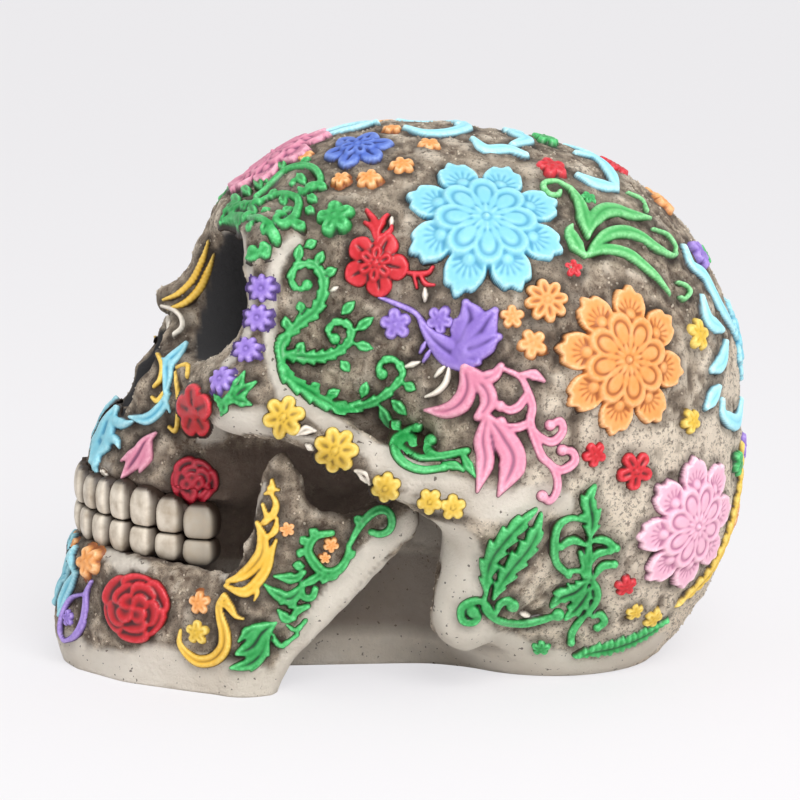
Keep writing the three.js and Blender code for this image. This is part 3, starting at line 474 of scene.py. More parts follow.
def set_on_points_tree():
    """One shape on each point of a mesh, turned and sized by the points' own attributes."""
    tree, given = node_tool("Shapes on points", {
        "Points": "Geometry", "Shape": "Object", "Paint": "Material",
    }, "Pieces")
    turn, size = (
        add(tree, "GeometryNodeInputNamedAttribute", {"Name": name}, data_type="FLOAT_VECTOR")
        for name in ("turn", "size")
    )
    painted_copies(
        tree, given["Points"], given["Shape"],
        turn.outputs["Attribute"], size.outputs["Attribute"], given["Paint"],
    )
    return tree


shapes_on_points = set_on_points_tree()


def set_on_points(name, shape, spots, coat):
    """A piece made of one shape at many spots, each a place, a turn as a matrix and a size."""
    mesh = bpy.data.meshes.new(name)
    mesh.from_pydata([Vector(place) * MM for place, _, _ in spots], [], [])
    for attribute, values in (
        ("turn", [tuple(turn.to_euler()) for _, turn, _ in spots]),
        ("size", [tuple(size) for _, _, size in spots]),
    ):
        mesh.attributes.new(attribute, "FLOAT_VECTOR", "POINT")
        mesh.attributes[attribute].data.foreach_set("vector", np.array(values, np.float32).ravel())
    piece = link_piece(name, mesh)
    run_tree(piece, shapes_on_points, {"Shape": shape, "Paint": coat}).shade_smooth()
    return piece


def facing_out(mesh, weld=0):
    """A mesh's seams joined, where a distance is given, and all its faces turned outward."""
    shell = bmesh.new()
    shell.from_mesh(mesh)
    if weld:
        bmesh.ops.remove_doubles(shell, verts=shell.verts, dist=weld)
    bmesh.ops.recalc_face_normals(shell, faces=shell.faces)
    shell.to_mesh(mesh)
    shell.free()


def tooth_crown():
    """A unit crown, 1 mm each way: an oval block with a flatter front and a narrower neck at its top."""
    rows, around = 18, 28
    points = []
    wash = []
    for i in range(rows + 1):
        lift = -math.pi / 2 + math.pi * i / rows
        for j in range(around):
            turn = 2 * math.pi * j / around
            bulge = abs(math.cos(lift)) ** (0.26 if lift < 0 else 0.6)
            x = bulge * math.copysign(abs(math.cos(turn)) ** 0.5, math.cos(turn))
            y = bulge * math.copysign(abs(math.sin(turn)) ** 0.42, math.sin(turn))
            z = math.copysign(abs(math.sin(lift)) ** 0.8, math.sin(lift))
            neck = 1 - 0.3 * max(0, z) ** 2
            points.append((x * (1 - 0.1 * max(0, z)) / 2, y * neck / 2, z / 2))
            # the back half of each crown is painted shade, and toward the neck painted shade joins the gum's
            # brown wash
            aside = max(0, 0.45 - x / bulge) / 0.5 if bulge > 0.1 else 0
            outline = max(0, abs(y) / bulge - 0.86) * 6 if bulge > 0.1 else 1
            toward_gum = max(0, z) ** 2
            wash.append(aside + outline + 0.5 * toward_gum + max(0, z - 0.7) * 4 + max(0, -z - 0.9) * 7)
    faces = [
        (low + j, low + (j + 1) % around, low + around + (j + 1) % around, low + around + j)
        for low in range(0, rows * around, around) for j in range(around)
    ]
    mesh = bpy.data.meshes.new("tooth_crown")
    mesh.from_pydata(np.array(points) * MM, [], faces)
    set_attribute(mesh, "wash", np.clip(wash, 0, 1))
    facing_out(mesh, WELD * MM)
    return bpy.data.objects.new("tooth_crown", mesh)


def arch_walk(distance):
    """The angle on the dental arch that far along it from the middle, in millimetres."""
    angles = np.linspace(0, math.pi / 2, 400)
    x, y = ARCH_HALF_WIDTH * np.sin(angles), ARCH_DEPTH * np.cos(angles)
    walked = np.concatenate(([0], np.cumsum(np.hypot(np.diff(x), np.diff(y)))))
    return float(np.interp(distance, walked, angles))


def tooth_row(widths, heights, direction):
    """The places, turns and sizes of a row of crowns, above the bite (1) or below it (-1)."""
    spots = []
    ends = np.concatenate(([0], np.cumsum(widths)))
    for n, (width, height) in enumerate(zip(widths, heights)):
        angle = arch_walk((ends[n] + ends[n + 1]) / 2)
        out = math.atan2(-ARCH_DEPTH * math.cos(angle), ARCH_HALF_WIDTH * math.sin(angle))
        x, y = ARCH_HALF_WIDTH * math.sin(angle), ARCH_BACK - ARCH_DEPTH * math.cos(angle)
        z = BITE_FRONT + BITE_SLOPE * (y - ARCH_BACK + ARCH_DEPTH) + direction * (BITE_GAP + height) / 2
        flip = Matrix.Rotation(math.pi, 3, "X") if direction < 0 else Matrix.Identity(3)
        for side in (1, -1):
            heading = out if side > 0 else math.pi - out
            turn = Matrix.Rotation(heading, 3, "Z") @ flip
            spots.append(((side * x, y, z), turn, (TOOTH_THICKNESS, width * TOOTH_OVERLAP, height)))
    return spots


ivory = ivory_paint()
crown = tooth_crown()
gum_out, gum_up = GUM_LINE
for row, carrier_name, widths, heights, direction in (
    ("upper", "cranium", UPPER_WIDTHS, UPPER_HEIGHTS, 1), ("lower", "jaw", LOWER_WIDTHS, LOWER_HEIGHTS, -1),
):
    spots = tooth_row(widths, heights, direction)
    for place, turn, size in spots:
        necks = [Vector((gum_out, across, gum_up)) * Vector(size) for across in (-0.4, -0.2, 0, 0.2, 0.4)]
        footprints[carrier_name].append(np.array([Vector(place) + turn @ neck for neck in necks]))
    teeth = set_on_points(f"{row}_teeth_crowns", crown, spots, ivory)
    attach(teeth, "root")
    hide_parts(f"{row}_teeth")

# The beds behind the crowns are the rows' own solids, drawn in and left dark: brown wash in the lines
# between the teeth, and painted shade behind them
BED_DEPTH = 2.2
BED_REAR = -54
bed_material = blank_material("dark brown wash and painted shade on resin", 0.7)[0]
bed_material.node_tree.nodes["Principled BSDF"].inputs["Base Color"].default_value = linear("3f3229")
for row, solid in (("upper", solids[2]), ("lower", solids[3])):
    for vertex, inward in [(v, v.normal * BED_DEPTH) for v in solid.verts]:
        vertex.co -= inward
    bmesh.ops.bisect_plane(
        solid, geom=solid.verts[:] + solid.edges[:] + solid.faces[:],
        plane_co=(0, BED_REAR, 0), plane_no=(0, 1, 0), clear_outer=True,
    )
    bmesh.ops.holes_fill(solid, edges=[edge for edge in solid.edges if edge.is_boundary])
    bmesh.ops.scale(solid, vec=Vector((MM, MM, MM)), verts=solid.verts)
    mesh = bpy.data.meshes.new(f"{row}_tooth_bed")
    solid.to_mesh(mesh)
    bed = link_piece(f"{row}_tooth_bed", mesh)
    mesh.shade_smooth()
    mesh.materials.append(bed_material)
    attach(bed, "root")


# Layered flowers
# The three big flowers of each side and one each on the forehead and the nape: thick mouldings in two rings
# of eight petals round a rayed star, painted in one colour with paler brushed edges and dark grooves.
STEP = 0.32
EDGE = 0.35
SINK = 0.8
CAST_HEIGHT = 14
CAST_REACH = 90
SOFTEN_ROUNDS = 14
WASH_DEPTH = 0.26
BRUSH_RISE = 0.75
FOOT_HEIGHT = 0.9
UNDER = 0.6
STEEPEST = 1.6
VAULT_MIDDLE = Vector((0, 15, 75))
FAR_OUTSIDE = 150
NEAR_OUTSIDE = 30


def seat_at(carrier_name, px, py, turn=0, drop=math.inf):
    """A seat square to a casting's surface, at the point under a pixel."""
    carrier = carriers[carrier_name]
    point = on_surface(carrier, px, py)
    normal = carrier.tree.find_nearest(point)[1]
    return seat_on(carrier_name, point, normal, turn, drop)


def seat_on(carrier_name, point, normal, turn=0, drop=math.inf):
    """A seat on a casting. Before its turn its right runs along the skull, or across it where it faces y."""
    level = Vector((1, 0, 0)) if abs(normal.y) > 0.9 else Vector((0, 1, 0))
    right = (level - normal * level.dot(normal)).normalized()
    right.rotate(Matrix.Rotation(math.radians(turn), 3, normal))
    return SimpleNamespace(
        carrier=carrier_name, point=point, normal=normal, right=right, up=normal.cross(right), drop=drop
    )


def seat_in_view(carrier_name, px, py, drop=math.inf):
    """A seat that faces the camera, for an ornament in a hollow or over an edge. It stops at the drop."""
    point = on_surface(carriers[carrier_name], px, py)
    return SimpleNamespace(
        carrier=carrier_name, point=point, normal=toward_camera, right=image_right, up=image_up, drop=drop
    )


def rise(inside, height):
    """A steep rounded wall up to the height where a point is inside an outline, sunk outside it."""
    return -SINK + (height + SINK) * smooth(inside / (2 * EDGE) + 0.5)


def petals(count, turn, reach, petal, middle=(0, 0)):
    """A ring of petals: petal gives the depth inside one and its height, along and across its axis."""
    def lay(u, v, top):
        for n in range(count):
            angle = math.radians(turn + 360 * n / count)
            du, dv = u - middle[0], v - middle[1]
            along_axis = du * math.cos(angle) + dv * math.sin(angle)
            across = dv * math.cos(angle) - du * math.sin(angle)
            top = np.maximum(top, rise(*petal(along_axis, across)))
        return top
    return (middle[0] - reach, middle[0] + reach, middle[1] - reach, middle[1] + reach), lay


def egg(near, far, width, height, groove=0.0, rim=0.0, dish=0.0, tilt=0.0, loop=0.0, taper=0.22):
    """An egg-shaped petal from near to far along its axis: grooved, rimmed, dished, tilted or looped."""
    middle, half = (near + far) / 2, (far - near) / 2

    def petal(s, t):
        place = (s - middle) / half
        across = t / (width / 2 * (1 + taper * np.clip(place, -1, 1)))
        reach = np.hypot(place, across)
        inside = (1 - reach) * min(half, width / 2)
        tall = height * (1 - 0.12 * reach**2) - dish * np.exp(-(reach / 0.5) ** 2)
        tall = tall + rim * np.exp(-((inside - 0.55) / 0.35) ** 2) + tilt * np.clip(across, -1, 1)
        tall = tall - loop * np.exp(-((reach - 0.56) / 0.1) ** 2)
        tear = 0.08 + 0.1 * smooth((place + 0.9) / 1.2)
        tall = tall - groove * np.exp(-((t / (width * tear)) ** 2)) * smooth((0.72 - np.abs(place)) / 0.25)
        return inside, tall
    return petal


def dome(radius, height, flat=0.3):
    """A round boss, for a ring of one petal."""
    def petal(s, t):
        away = np.hypot(s, t)
        return radius - away, height * (1 - flat * (away / radius) ** 2)
    return petal


def lobed(radius):
    """An outer petal: a broad lobe with a pointed tip and notched shoulders, veins fanning from a boss."""
    middle, size, boss = 0.735 * radius, 0.262 * radius, 0.61 * radius

    def petal(s, t):
        angle = np.abs(np.arctan2(t, s - middle))
        tip = 0.2 * np.exp(-((angle / 0.2) ** 2)) + 0.07 * np.exp(-(((angle - 0.75) / 0.22) ** 2))
        edge = size * (1 + tip - 0.08 * np.exp(-(((angle - 0.42) / 0.14) ** 2)))
        inside = edge - np.hypot(s - middle, t)
        run = np.hypot(s - boss, t)
        fan = np.arctan2(t, s - boss)
        nearest_vein = np.clip(np.round(fan / 0.4), -3, 3) * 0.4
        vein = np.exp(-(((fan - nearest_vein) * run / 0.26) ** 2))
        vein = vein * smooth((run - 0.07 * radius) / 0.6) * smooth((0.27 * radius - run) / (0.08 * radius))
        knob = 0.7 * np.exp(-((run / (0.06 * radius)) ** 2))
        curl = 0.35 * smooth((1.2 - inside) / 1.0)
        return inside, 1.7 + curl - 0.62 * vein + knob
    return petal


def layered_flower(radius, turn):
    """Outer petals, a disc, looped inner petals, a boss, a star of rays and a bead, from the ground up."""
    inner = egg(0.03 * radius, 0.67 * radius, 0.37 * radius, 2.6, rim=0.3, loop=0.5, taper=0.4)
    return [
        petals(8, turn + 22.5, radius * 1.1, lobed(radius)),
        petals(1, 0, radius, dome(0.46 * radius, 1.6, 0)),
        petals(8, turn, radius, inner),
        petals(1, 0, radius, dome(0.12 * radius, 2.5, 0.1)),
        petals(8, turn, radius, egg(0.04 * radius, 0.25 * radius, 0.07 * radius, 3.0)),
        petals(1, 0, radius, dome(0.055 * radius, 3.5)),
    ]


def softened(top, rounds):
    """A height field with each height evened out with its neighbours."""
    for _ in range(rounds):
        for axis in (0, 1):
            top = (np.roll(top, 1, axis) + 2 * top + np.roll(top, -1, axis)) / 4
    return top


def relief_grid(marks, step=STEP):
    """The marks of an ornament as a height field: flat places, heights, wash, brushing and faces."""
    boxes = np.array([box for box, _ in marks])
    edge = 4 * step
    u = np.arange(boxes[:, 0].min() - edge, boxes[:, 1].max() + edge + step, step)
    v = np.arange(boxes[:, 2].min() - edge, boxes[:, 3].max() + edge + step, step)
    flat_u, flat_v = np.meshgrid(u, v, indexing="ij")
    top = np.full(flat_u.shape, -SINK)
    for (low_u, high_u, low_v, high_v), lay in marks:
        rows = slice(*np.searchsorted(u, (low_u - edge, high_u + edge)))
        columns = slice(*np.searchsorted(v, (low_v - edge, high_v + edge)))
        part = rows, columns
        top[part] = lay(flat_u[part], flat_v[part], top[part])
    top = softened(top, 1)
    even = softened(top, SOFTEN_ROUNDS)
    wash = np.clip((even - top) / WASH_DEPTH, 0, 1)
    brush = np.clip((top - even) / BRUSH_RISE, 0, 1)
    # the low walls at each moulding's foot take a brown wash that is partly painted shadow
    foot = smooth((FOOT_HEIGHT - top) / FOOT_HEIGHT)
    shown = top > -SINK + 0.02
    cells = shown[:-1, :-1] | shown[1:, :-1] | shown[:-1, 1:] | shown[1:, 1:]
    used = np.zeros(top.shape, bool)
    for rows in (slice(None, -1), slice(1, None)):
        for columns in (slice(None, -1), slice(1, None)):
            used[rows, columns] |= cells
    number = np.cumsum(used.ravel()).reshape(used.shape) - 1
    i, j = np.nonzero(cells)
    faces = np.stack((number[i, j], number[i + 1, j], number[i + 1, j + 1], number[i, j + 1]), axis=1)
    return SimpleNamespace(
        u=flat_u[used], v=flat_v[used], top=top[used], faces=faces,
        wash=wash[used], brush=brush[used], foot=foot[used], stain=1,
    )


def face_sides(faces):
    """The sides of four-sided faces, each from corner to corner."""
    return np.vstack([faces[:, [n, (n + 1) % 4]] for n in range(4)])


def laid_on(seat, grid):
    """The upper and under points of a height field laid on a casting. Past an edge it keeps its depth."""
    tree = carriers[seat.carrier].tree
    start = seat.normal * (CAST_REACH / 2 if seat.normal is toward_camera else CAST_HEIGHT)
    flat = [seat.point + seat.right * u + seat.up * v for u, v in zip(grid.u, grid.v)]
    hits = [tree.ray_cast(place + start, -seat.normal, CAST_REACH)[:2] for place in flat]
    depth = np.array([(p - hit).dot(seat.normal) if hit else CAST_REACH for p, (hit, _) in zip(flat, hits)])
    depth = np.minimum(depth, max(seat.drop, depth.min()))
    ends = face_sides(grid.faces)
    for _ in range(len(grid.u)):
        eased = depth.copy()
        np.minimum.at(eased, ends[:, 0], depth[ends[:, 1]] + STEEPEST * STEP)
        np.minimum.at(eased, ends[:, 1], depth[ends[:, 0]] + STEEPEST * STEP)
        if np.array_equal(eased, depth):
            break
        depth = eased
    rising = np.array([
        (seat.normal + outward).normalized() if hit and outward.dot(seat.normal) > 0 else seat.normal
        for hit, outward in hits
    ])
    base = np.array(flat) - depth[:, None] * np.array(seat.normal)
    return base + rising * grid.top[:, None], base - rising * (SINK + UNDER)


def relief_mesh(name, upper, under, grid):
    """A closed moulding: its upper face, the same face underneath and walls round its edges."""
    count = len(upper)
    sides = face_sides(grid.faces)
    key = np.sort(sides, axis=1) @ [count, 1]
    _, first, times = np.unique(key, return_index=True, return_counts=True)
    rim = sides[first[times == 1]]
    walls = np.stack((rim[:, 1], rim[:, 0], rim[:, 0] + count, rim[:, 1] + count), axis=1)
    faces = np.vstack((grid.faces, grid.faces[:, ::-1] + count, walls))
    mesh = bpy.data.meshes.new(name)
    mesh.from_pydata(np.vstack((upper, under)) * MM, [], faces.tolist())
    for mark, below in (("wash", 0), ("brush", 0), ("foot", grid.stain)):
        set_attribute(mesh, mark, np.concatenate((getattr(grid, mark), np.full(count, below))))
    facing_out(mesh)
    mesh.shade_smooth()
    return mesh


# Brown of the wash at each moulding's foot, which is partly painted shadow
FOOT_WASH_AND_SHADOW = "2e231b"


def paint(name, body, light, dark, roughness=0.55):
    """Matt acrylic paint: the body colour, a paler dry-brushed edge and a dark wash in the grooves."""
    material, tree, shader = blank_material(name, roughness)
    place = add(tree, "ShaderNodeTexCoord").outputs["Object"]
    groove, ridge, foot = (
        add(tree, "ShaderNodeAttribute", attribute_name=mark).outputs["Fac"]
        for mark in ("wash", "brush", "foot")
    )
    mottle = add(tree, "ShaderNodeTexNoise", {"Vector": place, "Scale": 1 / (4 * MM), "Detail": 6})
    worn = add(tree, "ShaderNodeTexNoise", {"Vector": place, "Scale": 1 / (0.9 * MM), "Detail": 4})
    dry = add(tree, "ShaderNodeMapRange", {"Value": worn.outputs["Fac"], 1: 0.3, 2: 0.65, 3: 0.2, 4: 1})
    brushed = add(tree, "ShaderNodeMath", {0: ridge, 1: dry.outputs["Result"]}, operation="MULTIPLY")
    coat = coloured(tree, linear(body), [
        (mottle.outputs["Fac"], 0.45, 0.8, 0.3, linear(light)),
        (brushed.outputs[0], 0, 1, 1, linear(light)),
        (groove, 0, 1, 1, linear(dark)),
        # brown wash at the foot of the moulding, partly painted shadow where it meets the ground
        (foot, 0, 1, 1, linear(FOOT_WASH_AND_SHADOW)),
    ])
    tree.links.new(coat, shader.inputs["Base Color"])
    bump = add(tree, "ShaderNodeBump", {
        "Height": worn.outputs["Fac"], "Strength": 0.25, "Distance": 0.2 * MM,
    })
    tree.links.new(bump.outputs["Normal"], shader.inputs["Normal"])
    return material


# The paint of each slot: the bone white slips and blossoms have the slot of the resin they are cast in
paints = {
    "sky_blue_paint": paint("sky blue acrylic paint", "76bdd0", "b0dfe8", "4892b3"),
    "pale_blue_paint": paint("pale blue acrylic paint", "8fd5e6", "cdf4f8", "4a93b4"),
    "royal_blue_paint": paint("royal blue acrylic paint", "4563ba", "859edd", "1c2a66"),
    "orange_paint": paint("orange acrylic paint", "d98e47", "f0c290", "96501d"),
    "pink_paint": paint("pink acrylic paint", "dba5bb", "f4d3de", "a86b8a"),
    "dusky_pink_paint": paint("dusky pink acrylic paint", "cb7a95", "ebb0c1", "7d4665"),
    "red_paint": paint("red satin acrylic paint", "b50e1a", "de4450", "4a050d", 0.4),
    "crimson_paint": paint("crimson satin acrylic paint", "9c1226", "c93a4c", "42060f", 0.4),
    "yellow_paint": paint("yellow acrylic paint", "cfa832", "ecd378", "46320f"),
    "ochre_paint": paint("ochre acrylic paint", "dcaa30", "f1d06d", "38280b"),
    "violet_paint": paint("violet acrylic paint", "8065ba", "b49cdf", "4b3378"),
    "leaf_green_paint": paint("leaf green satin acrylic paint", "11863a", "66d384", "05371a", 0.4),
    "grass_green_paint": paint("grass green satin acrylic paint", "3fa253", "a0e6a5", "124f25", 0.4),
    "cast_resin": paint("bone white acrylic paint", "ddd4c5", "ece4d8", "6d5a49"),
}
BOTH_SIDES = ("left_", 1), ("right_", -1)
MIDDLE_LINE = (("", 1),)


def moulded(seat, marks):
    """An ornament's height field laid on its casting, which keeps its footprint for the dark wash and painted
    shadow.
    """
    grid = relief_grid(marks)
    upper, under = laid_on(seat, grid)
    footprints[seat.carrier].append(upper[grid.top > -SINK / 2])
    return upper, under, grid


def ornament(name, slot, seat, marks, sides=BOTH_SIDES):
    """An ornament on both sides or the middle line, each piece in place of its CAD node if it has one."""
    upper, under, grid = moulded(seat, marks)
    for side, sign in sides:
        mirror = [sign, 1, 1]
        mesh = relief_mesh(f"{side}{name}_relief", upper * mirror, under * mirror, grid)
        mesh.materials.append(paints[slot])
        piece = link_piece(f"{side}{name}_relief", mesh)
        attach(piece, "root")
        if f"{side}{name}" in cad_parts:
            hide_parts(f"{side}{name}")


ornament("blue_flower", "sky_blue_paint", seat_at("cranium", 485, 222), layered_flower(20.5, 0))
ornament("orange_flower", "orange_paint", seat_at("cranium", 624, 360), layered_flower(18.8, 13))
ornament("pink_flower", "pink_paint", seat_at("cranium", 691, 524), layered_flower(18, 20))


def node_seat(carrier_name, node, outward):
    """A seat under the middle of a CAD node, found by looking in at it from outside."""
    low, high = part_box(node)
    middle = (low + high) / (2 * MM)
    point, normal = carriers[carrier_name].tree.ray_cast(middle + outward * NEAR_OUTSIDE, -outward)[:2]
    return seat_on(carrier_name, point, normal)


def seat_behind(aside, above, turn=0):
    """A place on the vault that the photograph doesn't show, by its angles from straight behind."""
    aside, above = math.radians(aside), math.radians(above)
    outward = Vector((math.sin(aside) * math.cos(above), math.cos(aside) * math.cos(above), math.sin(above)))
    point, normal = cranium.tree.ray_cast(VAULT_MIDDLE + outward * FAR_OUTSIDE, -outward)[:2]
    return seat_on("cranium", point, normal, turn)


forehead_seat = node_seat("cranium", "forehead_flower", Vector((0, -0.62, 0.79)))
ornament("forehead_flower", "dusky_pink_paint", forehead_seat, layered_flower(16, 0), MIDDLE_LINE)
ornament("nape_flower", "sky_blue_paint", seat_behind(0, 8), layered_flower(12, 0), MIDDLE_LINE)


# Roses and small flowers
# Simple mouldings of one or two rings of petals. Each petal has a dark groove down its middle, and the
# roses are turned-over petals laid in three rings. Painted like the large flowers.
def star_flower(radius, count, turn, fullness=1.0, groove=0.6):
    """One ring of grooved petals round a boss."""
    width = fullness * 1.9 * radius / count**0.62
    return [
        petals(count, turn, radius * 1.1, egg(0.1 * radius, radius, width, 1.7, groove=groove, rim=0.2)),
        petals(1, 0, radius, dome(0.19 * radius, 2.1)),
    ]


def squeezed(marks, share):
    """Marks made narrower, for a flower on a surface that turns away."""
    def narrow(box, lay):
        return (box[0] * share, box[1] * share, *box[2:]), lambda u, v, top: lay(u / share, v, top)
    return [narrow(*mark) for mark in marks]


def pointed(near, far, width, height, groove):
    """A petal with a sharp tip and a groove down it."""
    def petal(s, t):
        place = np.clip((s - near) / (far - near), 0, 1)
        half = width / 2 * np.sin(math.pi * place**1.2) ** 0.6
        inside = np.minimum(half - np.abs(t), np.minimum(s - near, far - s) + 0.2)
        cut = groove * np.exp(-((t / 0.3) ** 2)) * smooth((0.85 - place) / 0.3)
        return inside, height - 0.25 * (t / (width / 2)) ** 2 - cut
    return petal


def double_flower(radius, count, turn):
    """A ring of pointed petals under a smaller ring of round ones."""
    outer = pointed(0.2 * radius, 1.04 * radius, 4.2 * radius / count, 1.5, 0.8)
    inner = egg(0.08 * radius, 0.56 * radius, 0.34 * radius, 2.2, groove=0.8, rim=0.3)
    return [
        petals(count, turn, radius * 1.1, outer),
        petals(1, 0, radius, dome(0.4 * radius, 1.3, 0)),
        petals(count + 1, turn + 20, radius, inner),
        petals(1, 0, radius, dome(0.14 * radius, 2.5)),
    ]


ROSE_RINGS = [
    (1.5, 0.45, 0.3, 0.98, [(0, 1.0), (57, 0.93), (118, 1.03), (180, 0.95), (238, 1.01), (300, 0.92)]),
    (2.4, 0.55, 0.1, 0.8, [(28, 0.76), (98, 0.7), (172, 0.79), (246, 0.72), (318, 0.75)]),
    (3.2, 0.5, 0.0, 0.52, [(10, 0.5), (105, 0.46), (190, 0.52), (285, 0.47)]),
]


def rose_flower(radius, turn):
    """Three rings of uneven petals: each its height, tilt, near end, width and its petals' turns and ends."""
    marks = []
    for height, tilt, near, width, ring in ROSE_RINGS:
        for angle, far in ring:
            petal = egg(near * radius, far * radius, width * radius, height, rim=0.35, dish=0.4, tilt=tilt)
            marks.append(petals(1, turn + angle, radius * 1.05, petal))
    marks.append(petals(1, 0, radius, dome(0.12 * radius, 3.8)))
    return marks


ornament("red_flower", "red_paint", seat_at("cranium", 376, 264), double_flower(8.4, 5, 62))
ornament("royal_flower", "royal_blue_paint", seat_at("cranium", 359, 150), double_flower(9, 6, 0))
ornament("marigold", "orange_paint", seat_at("cranium", 546, 301), star_flower(6.0, 8, 10))
ornament("red_star", "red_paint", seat_at("cranium", 634, 470), star_flower(5.4, 5, 50))
cheek_marks = squeezed(star_flower(7.2, 5, 90, 1.25), 0.72)
ornament("cheek_flower", "red_paint", seat_in_view("cranium", 198, 411, 10), cheek_marks)
arch_front = seat_in_view("cranium", 284, 417, 6)
ornament("arch_flower_front", "yellow_paint", arch_front, star_flower(5.6, 6, 12, 1.04, 0.35))
arch_rear = seat_in_view("cranium", 336, 450, 6)
ornament("arch_flower_rear", "yellow_paint", arch_rear, star_flower(5.9, 7, 0, 1.08, 0.35))
for place, (px, py, radius, count, turn) in (
    ("front", (386, 487, 4.0, 6, 20)), ("middle", (430, 501, 3.4, 5, 50)), ("rear", (453, 507, 3.4, 5, 20)),
):
    bud = star_flower(radius, count, turn, 1.1, 0.3)
    ornament(f"arch_bud_{place}", "yellow_paint", seat_in_view("cranium", px, py, 5), bud)
ornament("cheek_rose", "crimson_paint", seat_in_view("cranium", 194, 481), rose_flower(6.6, 0))
ornament("jaw_rose", "red_paint", seat_in_view("jaw", 136, 607), rose_flower(9.6, 25))


# Leaves and scrolls
# Ridged mouldings that follow drawn lines: stems that end in curls, acanthus leaves with a slit down the
# middle, a lily and a plant of blades. Brushed paler on their ridges, with dark grooves.
CURVE_STEPS = 6


def curve(points):
    """A smooth line through points of a drawing."""
    points = np.asarray(points, float)
    ends = np.vstack((2 * points[0] - points[1], points, 2 * points[-1] - points[-2]))
    t = np.linspace(0, 1, CURVE_STEPS, endpoint=False)[:, None]
    spans = []
    for a, b, c, d in zip(ends[:-3], ends[1:-2], ends[2:-1], ends[3:]):
        bend = a - 2.5 * b + 2 * c - d / 2
        twist = 1.5 * (b - c) + (d - a) / 2
        spans.append(b + t * (c - a) / 2 + t**2 * bend + t**3 * twist)
    return np.vstack(spans + [points[-1:]])


def beside_line(line, u, v):
    """Distance from a line, and the share of its length there."""
    start, run = line[:-1], np.diff(line, axis=0)
    length = np.maximum(np.hypot(run[:, 0], run[:, 1]), 1e-6)
    walked = np.concatenate(([0], np.cumsum(length)))
    du, dv = u[..., None] - start[:, 0], v[..., None] - start[:, 1]
    t = np.clip((du * run[:, 0] + dv * run[:, 1]) / length**2, 0, 1)
    away = np.hypot(du - t * run[:, 0], dv - t * run[:, 1])
    nearest = away.argmin(-1)[..., None]
    along = walked[:-1] + t * length
    away, along = (np.take_along_axis(values, nearest, -1)[..., 0] for values in (away, along))
    return away, along / walked[-1]


def stroke(line, widths, height=1.7, slit=0.0, lobes=0, lobe=0.3, veins=0, bulb=0.0, saw=False):
    """A stem or leaf along a line: widths from start to end, slit, lobed or saw edges, veins, round end."""
    line = curve(line)
    spread = max(max(widths) * (0.5 + lobe * bool(lobes)), bulb)
    (low_u, low_v), (high_u, high_v) = line.min(axis=0) - spread, line.max(axis=0) + spread

    def lay(u, v, top):
        away, share = beside_line(line, u, v)
        half = np.interp(share, np.linspace(0, 1, len(widths)), widths) / 2 + 1e-3
        wave = lobes * share % 1 if saw else np.abs(np.sin(math.pi * lobes * share))
        half = half * (1 - lobe + 1.6 * lobe * wave) if lobes else half
        across = np.clip(away / half, 0, 1.5)
        tall = height * (1 - 0.4 * across**2)
        open_ends = smooth(share * 8) * smooth((1 - share) * 8)
        tall = tall - 2 * slit * np.exp(-((away / (0.14 * half + 0.2)) ** 2)) * open_ends
        if veins:
            ribs = 0.5 + 0.5 * np.cos(2 * math.pi * (veins * share - 0.35 * across))
            tall = tall - 0.6 * ribs**3 * smooth((across - 0.12) / 0.2)
        top = np.maximum(top, rise(half - away, tall))
        if bulb:
            from_end = np.hypot(u - line[-1, 0], v - line[-1, 1])
            top = np.maximum(top, rise(bulb - from_end, 1.15 * height * (1 - 0.3 * (from_end / bulb) ** 2)))
        return top
    return (low_u, high_u, low_v, high_v), lay


def drawn(seat, pixels):
    """Pixels of the photograph as flat places on a seat, in millimetres."""
    offsets = [on_surface(carriers[seat.carrier], px, py) - seat.point for px, py in pixels]
    return [(offset.dot(seat.right), offset.dot(seat.up)) for offset in offsets]


STEM = [1.4, 2.2, 2.4, 2.0]
CURL = [1.5, 2.3, 2.5, 2.2, 1.9]
LEAFLET = [0.8, 3.0, 2.6, 0.4]
SPRIG = [1.0, 1.6, 1.2]


def stroke_marks(seat, strokes):
    """Marks from strokes, each its pixels, its widths in millimetres and its finish."""
    return [stroke(drawn(seat, pixels), widths, **finish) for pixels, widths, finish in strokes]


def scroll(name, slot, seat, strokes):
    """An ornament of strokes on both sides."""
    ornament(name, slot, seat, stroke_marks(seat, strokes))


def alike(widths, lines, **finish):
    """Strokes that share their widths and finish."""
    return [(line, widths, finish) for line in lines]


def finished(strokes, **finish):
    """Strokes with widths of their own that share a finish."""
    return [(line, widths, finish) for line, widths in strokes]


